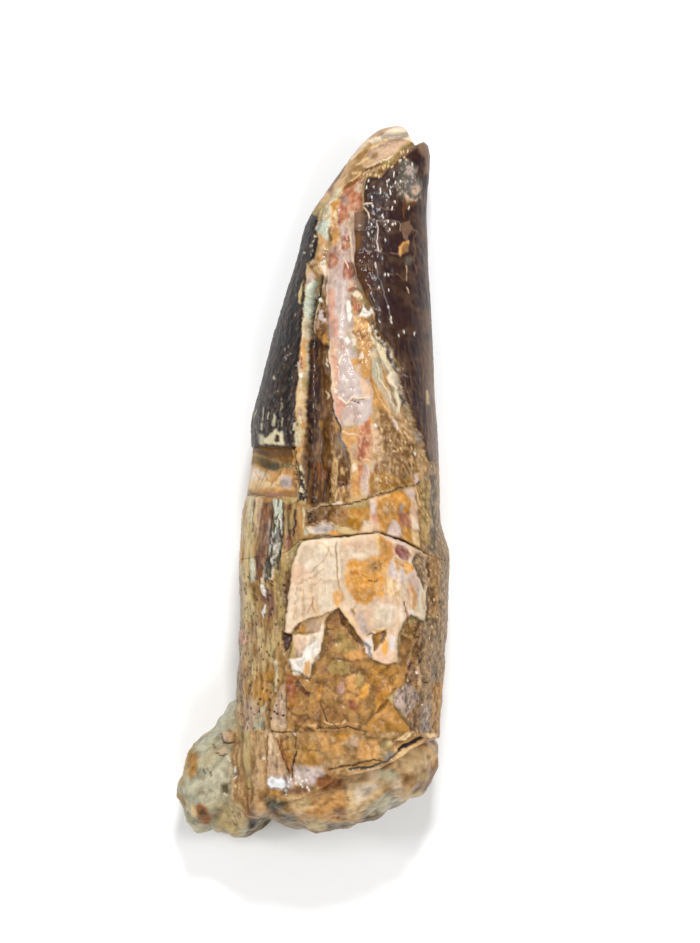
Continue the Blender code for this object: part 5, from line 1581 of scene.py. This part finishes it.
def rock_skin():
    """The rock as a squashed ball whose plan is its outline, from its top down to its flat foot.

    At a height share s from -1 to 1 its plan reaches (1 - |s|^p)^(1/p) of the way to the outline,
    and soft cells and noise push its surface in and out.
    """
    turn = 2 * np.pi * np.arange(ROCK_COLUMNS) / ROCK_COLUMNS
    outline = np.array(ROCK_OUTLINE) - ROCK_CENTRE
    bearing = np.arctan2(outline[:, 1], outline[:, 0])
    lift = np.linspace(0.995 * np.pi / 2, -0.995 * np.pi / 2, ROCK_ROWS)[:, None]
    bulge = (np.cos(lift) ** ROCK_POWER + np.abs(np.sin(lift)) ** ROCK_POWER) ** (-1 / ROCK_POWER)
    out, up = bulge * np.cos(lift), bulge * np.sin(lift)
    reach = np.interp(turn + ROCK_SLANT * up, bearing, np.hypot(*outline.T), period=2 * np.pi)
    x = ROCK_CENTRE[0] + out * reach * np.cos(turn)
    y = ROCK_CENTRE[1] + out * reach * np.sin(turn)
    top = SHOULDER_TOP + (LEDGE_TOP - SHOULDER_TOP) * smooth_step(SHOULDER_X, LEDGE_X, x)
    above = ROCK_WAIST + (top - ROCK_WAIST) * up
    below = ROCK_WAIST + (ROCK_WAIST + ROCK_SINK) * up
    points = np.stack([x, y, np.where(up > 0, above, below)], axis=-1)
    hollows = cell_lumps(points, ROCK_LUMP_SIZE, 7) - 0.7 + 0.4 * value_noise(points, 2.2, 9)
    points = points - outward(points) * (ROCK_LUMP * hollows * np.sqrt(np.clip(out, 0, 1)))[..., None]
    skin = Skin(points, outward(points))
    skin.front = smooth_step(-0.15, 0.3, skin.facing)
    return skin


ROCK_PATCHES = [
    (PUMICE, 0.8, 0, [-154, -410, -136, -390, -120, -396, -120, -436, -146, -446, -164, -434]),
    (KHAKI, 0.5, 0, [-200, -356, -164, -358, -180, -426, -200, -420]),
    (OCHRE, 0.4, 0, [-176, -384, -167, -376, -160, -384, -162, -406, -168, -416, -175, -412]),
    (RUST, 0.25, 0.08, [-163, -454, -156, -449, -146, -456, -140, -470, -148, -484, -162, -468]),
    (UMBER, 0.2, -0.05, [-160, -464, -152, -456, -146, -464, -150, -470]),
    (BONE, 0.2, 0.05, [-170, -450, -164, -452, -163, -468, -169, -466]),
    (KHAKI, 0.3, 0, [-194, -436, -182, -438, -176, -454, -184, -470, -194, -460]),
    (STRAW, 0.2, 0.06, [-174, -476, -158, -476, -142, -486, -156, -492, -172, -488]),
    (FAWN, 0.12, 0.2, [-126, -349, -114, -349, -110, -358, -118, -363, -126, -359]),
    (FAWN, 0.12, 0.15, [-132, -376, -124, -370, -118, -374, -124, -381, -131, -382]),
    (MOSS, 0.3, -0.05, [-128, -424, -118, -422, -118, -436, -126, -438]),
    (SAND, 0.3, 0, [-116, -346, -86, -346, -83, -400, -86, -468, -94, -476, -114, -478, -112, -400]),
    (BUTTER, 0.4, 0, [-130, -450, -100, -450, -94, -476, -106, -506, -134, -500]),
    (BARK, 0.3, -0.06, [-108, -364, -100, -360, -98, -386, -106, -390]),
    (RUST, 0.25, 0, [-92, -436, -82, -436, -82, -466, -92, -468]),
]
ROCK_LINES = [
    (UMBER, 0.1, -0.1, [-129, -353, -126, -362, -119, -365, -111, -362]),
    (UMBER, 0.08, -0.1, [-134, -379, -126, -384, -119, -380]),
    (SLATE, 0.1, -0.1, [-150, -398, -144, -404, -142, -412], [-154, -400, -150, -408]),
    (SLATE, 0.08, -0.1, [-142, -366, -138, -372]),
    # The white, ivory and bone dashes are painted glints on and beside the fibrous strip
    (WHITE, 0.12, 0.1, [-109, -399, -110, -406], [-116, -386, -114, -389]),
    (WHITE, 0.1, 0.1, [-108, -412, -110, -415]),
    (IVORY, 0.12, 0.1, [-124, -436, -120, -440]),
    (BONE, 0.1, 0.1, [-108, -424, -106, -428]),
]
ROCK_STRIP = tenths([-116, -346, -84, -346, -82, -464, -105, -492, -118, -474])


def paint_rock(skin):
    """Grey-green sandstone with rusty stains, and the fibrous strip between it and the root."""
    everywhere = np.ones(skin.x.shape)
    skin.paint(everywhere, CLAY, gloss=0.5, grain=0.5)
    skin.mottle(everywhere, 2.8, 191, LICHEN, KHAKI, 0.3, 0.1)
    skin.paint(0.6 * smooth_step(0.0, -0.6, skin.facing), BARK)
    skin.lay(ROCK_PATCHES)
    skin.mottle(everywhere, 0.9, 192, STRAW, DRAB, 0.15, 0.1)
    strip = skin.patch(ROCK_STRIP, 0.4)
    skin.mottle(strip, (0.35, 1.8, 0.35), 193, BONE, BARK, 0.45, 0.1)
    skin.roughen(everywhere, 0.25, 2.4, 194)
    skin.draw(ROCK_LINES)


# ---------------------------------------------------------------- meshes

def kept_in_box(points, node):
    """Points held inside the model's own box for that node."""
    low, high = (np.array(corner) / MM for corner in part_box(node))
    return np.clip(points, low, high)


def closed_mesh(name, skin, node, material, capped=False):
    """A closed mesh from a skin: rings joined by four-sided faces, and a pole inside each end ring.

    Ring r, column c is vertex r * columns + c. A capped first ring gets smaller rings inside it.
    """
    rings = kept_in_box(skin.points(), node)
    if node == "tooth":
        rings[..., 1] = np.minimum(rings[..., 1], np.interp(rings[..., 0], TIP_EDGE[:, 0], TIP_EDGE[:, 1]))
    layers = {"paint": skin.colour, **skin.finish}
    if capped:
        centre = rings[0].mean(axis=0)
        inner = [centre + (rings[0] - centre) * share for share in CAP_SHARES]
        rings = np.concatenate([inner, rings])
        for key, value in layers.items():
            average = value[:1].mean(axis=1, keepdims=True)
            faded = [average + (value[:1] - average) * share ** 6 for share in CAP_SHARES]
            layers[key] = np.concatenate([*faded, value])
    rows, columns = rings.shape[:2]
    poles = [rings[0].mean(axis=0), rings[-1].mean(axis=0)]
    vertices = np.concatenate([rings.reshape(-1, 3), poles]) * MM
    grid = np.arange(rows * columns).reshape(rows, columns)
    beside = np.roll(grid, -1, axis=1)
    quads = np.stack([grid[:-1], grid[1:], beside[1:], beside[:-1]], axis=-1).reshape(-1, 4)
    first_pole, last_pole = rows * columns, rows * columns + 1
    first_fan = np.stack([np.full(columns, first_pole), grid[0], beside[0]], axis=-1)
    last_fan = np.stack([grid[-1], np.full(columns, last_pole), beside[-1]], axis=-1)
    mesh = bpy.data.meshes.new(name)
    mesh.from_pydata(vertices, [], quads.tolist() + first_fan.tolist() + last_fan.tolist())
    for key, values in layers.items():
        flat = values.reshape(rows * columns, -1)
        flat = np.concatenate([flat, flat[:1], flat[-1:]]).astype(np.float32)
        if key == "paint":
            layer = mesh.attributes.new(key, "FLOAT_COLOR", "POINT")
            layer.data.foreach_set("color", np.c_[flat, np.ones(len(flat), np.float32)].ravel())
        else:
            mesh.attributes.new(key, "FLOAT", "POINT").data.foreach_set("value", flat.ravel())
    mesh.shade_smooth()
    mesh.materials.append(material)
    piece = bpy.data.objects.new(name, mesh)
    bpy.context.scene.collection.objects.link(piece)
    return piece


# ---------------------------------------------------------------- materials

class Nodes:
    """Short calls for building a material's node tree."""

    def __init__(self, name):
        """Starts a material with its usual shader."""
        self.material = bpy.data.materials.new(name)
        self.material.use_nodes = True
        self.tree = self.material.node_tree
        self.shader = self.tree.nodes["Principled BSDF"]

    def add(self, kind, inputs=None, **settings):
        """A new node, with its settings and with values or links for its inputs."""
        node = self.tree.nodes.new(kind)
        for key, value in settings.items():
            setattr(node, key, value)
        for key, value in (inputs or {}).items():
            self.feed(node.inputs[key], value)
        return node

    def feed(self, socket, value):
        """Links a socket, or sets its value."""
        if isinstance(value, bpy.types.NodeSocket):
            self.tree.links.new(value, socket)
        else:
            socket.default_value = value

    def math(self, operation, *values):
        """The result of a Math node."""
        node = self.add("ShaderNodeMath", operation=operation)
        for socket, value in zip(node.inputs, values):
            self.feed(socket, value)
        return node.outputs[0]

    def ramp(self, value, low, high, to_low=0.0, to_high=1.0):
        """A value between low and high, mapped to between to_low and to_high and held there."""
        node = self.add("ShaderNodeMapRange", {"Value": value, "From Min": low, "From Max": high,
                                               "To Min": to_low, "To Max": to_high})
        return node.outputs["Result"]

    def layer(self, name):
        """The reader of one of the mesh's own layers."""
        return self.add("ShaderNodeAttribute", attribute_name=name)

    def noise(self, size, detail=3.0, stretch=1.0):
        """Noise whose bumps are about size millimetres across and stretch times longer along y."""
        place = self.add("ShaderNodeTexCoord").outputs["Object"]
        scaled = self.add("ShaderNodeMapping", {"Vector": place, "Scale": (1.0, 1.0 / stretch, 1.0)})
        return self.add("ShaderNodeTexNoise", {"Vector": scaled.outputs[0], "Scale": 1.0 / (size * MM),
                                               "Detail": detail, "Roughness": 0.6}).outputs["Fac"]


# Sizes in millimetres of the material's specks, threads and crazing, and how long the threads are
SPECK_SIZE, THREAD_SIZE, CRAZE_CELL = 0.24, 0.16, 1.9
THREAD_STRETCH = 7.0


def varnished_stone(name, coat, grain_height):
    """Stone painted by the paint layer, under clear varnish.

    The colour is multiplied by fine grain, long fibres and a net of hairlines, each as strong as its
    layer says. Roughness falls as gloss rises, and the same patterns raise the surface.
    """
    nodes = Nodes(name)
    grain, fibre = nodes.layer("grain").outputs["Fac"], nodes.layer("fibre").outputs["Fac"]
    craze, gloss = nodes.layer("craze").outputs["Fac"], nodes.layer("gloss").outputs["Fac"]
    specks = nodes.noise(SPECK_SIZE, detail=4.0)
    threads = nodes.noise(THREAD_SIZE, stretch=THREAD_STRETCH)
    place = nodes.add("ShaderNodeTexCoord").outputs["Object"]
    cells = nodes.add("ShaderNodeTexVoronoi", {"Vector": place, "Scale": 1.0 / (CRAZE_CELL * MM)},
                      feature="DISTANCE_TO_EDGE").outputs["Distance"]
    hairline = nodes.math("MULTIPLY", nodes.ramp(cells, 0.035, 0.0), craze)
    shade = nodes.math("ADD", 1.0, nodes.math("MULTIPLY", grain, nodes.ramp(specks, 0.3, 0.7, -0.35, 0.35)))
    shade = nodes.math("ADD", shade, nodes.math("MULTIPLY", fibre, nodes.ramp(threads, 0.3, 0.7, -0.3, 0.3)))
    shade = nodes.math("ADD", shade, nodes.math("MULTIPLY", hairline, 0.5))
    colour = nodes.add("ShaderNodeVectorMath", operation="SCALE")
    nodes.feed(colour.inputs[0], nodes.layer("paint").outputs["Color"])
    nodes.feed(colour.inputs["Scale"], shade)
    height = nodes.math("MULTIPLY", nodes.math("ADD", grain, 0.04), specks)
    height = nodes.math("ADD", height, nodes.math("MULTIPLY", fibre, nodes.math("MULTIPLY", threads, 0.6)))
    height = nodes.math("SUBTRACT", height, nodes.math("MULTIPLY", hairline, 0.25))
    bump = nodes.add("ShaderNodeBump", {"Height": height, "Strength": 1.0, "Distance": grain_height * MM})
    nodes.feed(nodes.shader.inputs["Base Color"], colour.outputs[0])
    nodes.feed(nodes.shader.inputs["Roughness"], nodes.ramp(gloss, 0.0, 1.0, 0.8, 0.15))
    nodes.feed(nodes.shader.inputs["Normal"], bump.outputs[0])
    nodes.shader.inputs["IOR"].default_value = 1.5
    nodes.shader.inputs["Specular IOR Level"].default_value = 0.2
    nodes.shader.inputs["Coat Weight"].default_value = coat
    nodes.shader.inputs["Coat Roughness"].default_value = 0.1
    return nodes.material


# ---------------------------------------------------------------- the pieces

PAINTERS = (paint_ground, paint_enamel, paint_left_enamel, paint_ridge_strip, paint_groove,
            paint_dentine_band, paint_hollow, paint_wear_facet, paint_notch, paint_left_root,
            paint_right_root, paint_neck, paint_core, paint_plate, paint_flakes, paint_base, paint_back)
RELIEF_PASSES = 9

# Towards the tip the relief fades out: none at the first y, all of it at the second
TIP_FADE = (50.0, 48.8)

# How brightly the lamps light a white surface, and the light that the varnish adds
EXPOSURE, SHEEN = 1.5, 0.02


def finish_skin(skin):
    """Weathers a painted skin and paints shade into its low places, and allows for how brightly it is lit
    and for the sheen of its varnish.
    """
    weather_and_shade(skin)
    skin.colour = np.clip((skin.colour - SHEEN) / EXPOSURE, 0.003, 0.95)


def add_tooth():
    """The crown and the root, shaped and painted, in place of the model's tooth."""
    varnished_bone = varnished_stone("varnished_tooth", 0.1, 0.06)
    crown, root = tooth_skins()
    for skin in (crown, root):
        for _ in range(RELIEF_PASSES):
            main_relief(skin)
            skin.trace()
        for painter in PAINTERS:
            painter(skin)
        open_cracks(skin)
        skin.relief *= smooth_step(*TIP_FADE, skin.place[..., 1])
        finish_skin(skin)
    pieces = [closed_mesh("tooth_crown", crown, "tooth", varnished_bone),
              closed_mesh("tooth_root", root, "tooth", varnished_bone, capped=True)]
    for piece in pieces:
        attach(piece, "root")
        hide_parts("tooth")


def add_rock():
    """The lump of rock, painted, in place of the model's rock."""
    skin = rock_skin()
    paint_rock(skin)
    paint_base(skin)
    open_cracks(skin)
    finish_skin(skin)
    rock = closed_mesh("matrix_lump", skin, "matrix_rock", varnished_stone("host_rock_finish", 0.05, 0.1))
    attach(rock, "root")
    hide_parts("matrix_rock")


# ---------------------------------------------------------------- floor, light and camera

FLOOR_REACH = 6.0
ROOM_LIGHT = 0.35

# Each lamp's place and size in metres, and its power in watts
LAMPS = (
    ("key", (0.05, 0.62, 0.85), 0.15, 6.8),
    ("left_fill", (-0.75, 0.1, 0.75), 0.25, 4.0),
    ("right_fill", (0.75, 0.0, 0.75), 0.25, 4.0),
    ("near_fill", (0.0, -0.6, 0.85), 0.2, 2.0),
)


def add_floor():
    """A plain pale sheet under the tooth."""
    mesh = bpy.data.meshes.new("floor")
    corners = [(-1, -1, 0), (1, -1, 0), (1, 1, 0), (-1, 1, 0)]
    mesh.from_pydata((np.array(corners) * FLOOR_REACH).tolist(), [], [(0, 1, 2, 3)])
    nodes = Nodes("floor_paper")
    nodes.shader.inputs["Base Color"].default_value = (0.92, 0.92, 0.92, 1.0)
    nodes.shader.inputs["Roughness"].default_value = 0.9
    nodes.shader.inputs["Specular IOR Level"].default_value = 0.0
    mesh.materials.append(nodes.material)
    floor = bpy.data.objects.new("floor", mesh)
    bpy.context.scene.collection.objects.link(floor)


def add_area_light(name, place, size, power):
    """A square lamp that faces the tooth."""
    lamp = bpy.data.lights.new(name, "AREA")
    lamp.size = size
    lamp.energy = power
    holder = bpy.data.objects.new(name, lamp)
    holder.location = place
    aim = np.array([0.0, 0.0, 0.015]) - place
    holder.rotation_euler = (np.arctan2(np.hypot(aim[0], aim[1]), -aim[2]), 0.0, np.arctan2(-aim[0], aim[1]))
    bpy.context.scene.collection.objects.link(holder)


def add_lights():
    """A dim white room and four soft lamps round the tooth, the strongest beyond the tip."""
    world = bpy.data.worlds.new("studio")
    bpy.context.scene.world = world
    world.use_nodes = True
    world.node_tree.nodes["Background"].inputs["Color"].default_value = (1.0, 1.0, 1.0, 1.0)
    world.node_tree.nodes["Background"].inputs["Strength"].default_value = ROOM_LIGHT
    for name, place, size, power in LAMPS:
        add_area_light(name, place, size, power)


def add_camera():
    """A camera straight above, whose long side takes in VIEW_LENGTH at VIEW_LEVEL."""
    camera = bpy.data.objects.new("camera", bpy.data.cameras.new("camera"))
    camera.data.lens = LENS
    camera.data.sensor_width = SENSOR
    camera.location = np.array([*VIEW_CENTRE, VIEW_LEVEL + VIEW_DISTANCE]) * MM
    bpy.context.scene.collection.objects.link(camera)
    bpy.context.scene.camera = camera


bpy.context.scene.view_settings.view_transform = "Standard"
add_tooth()
add_rock()
add_floor()
add_lights()
add_camera()
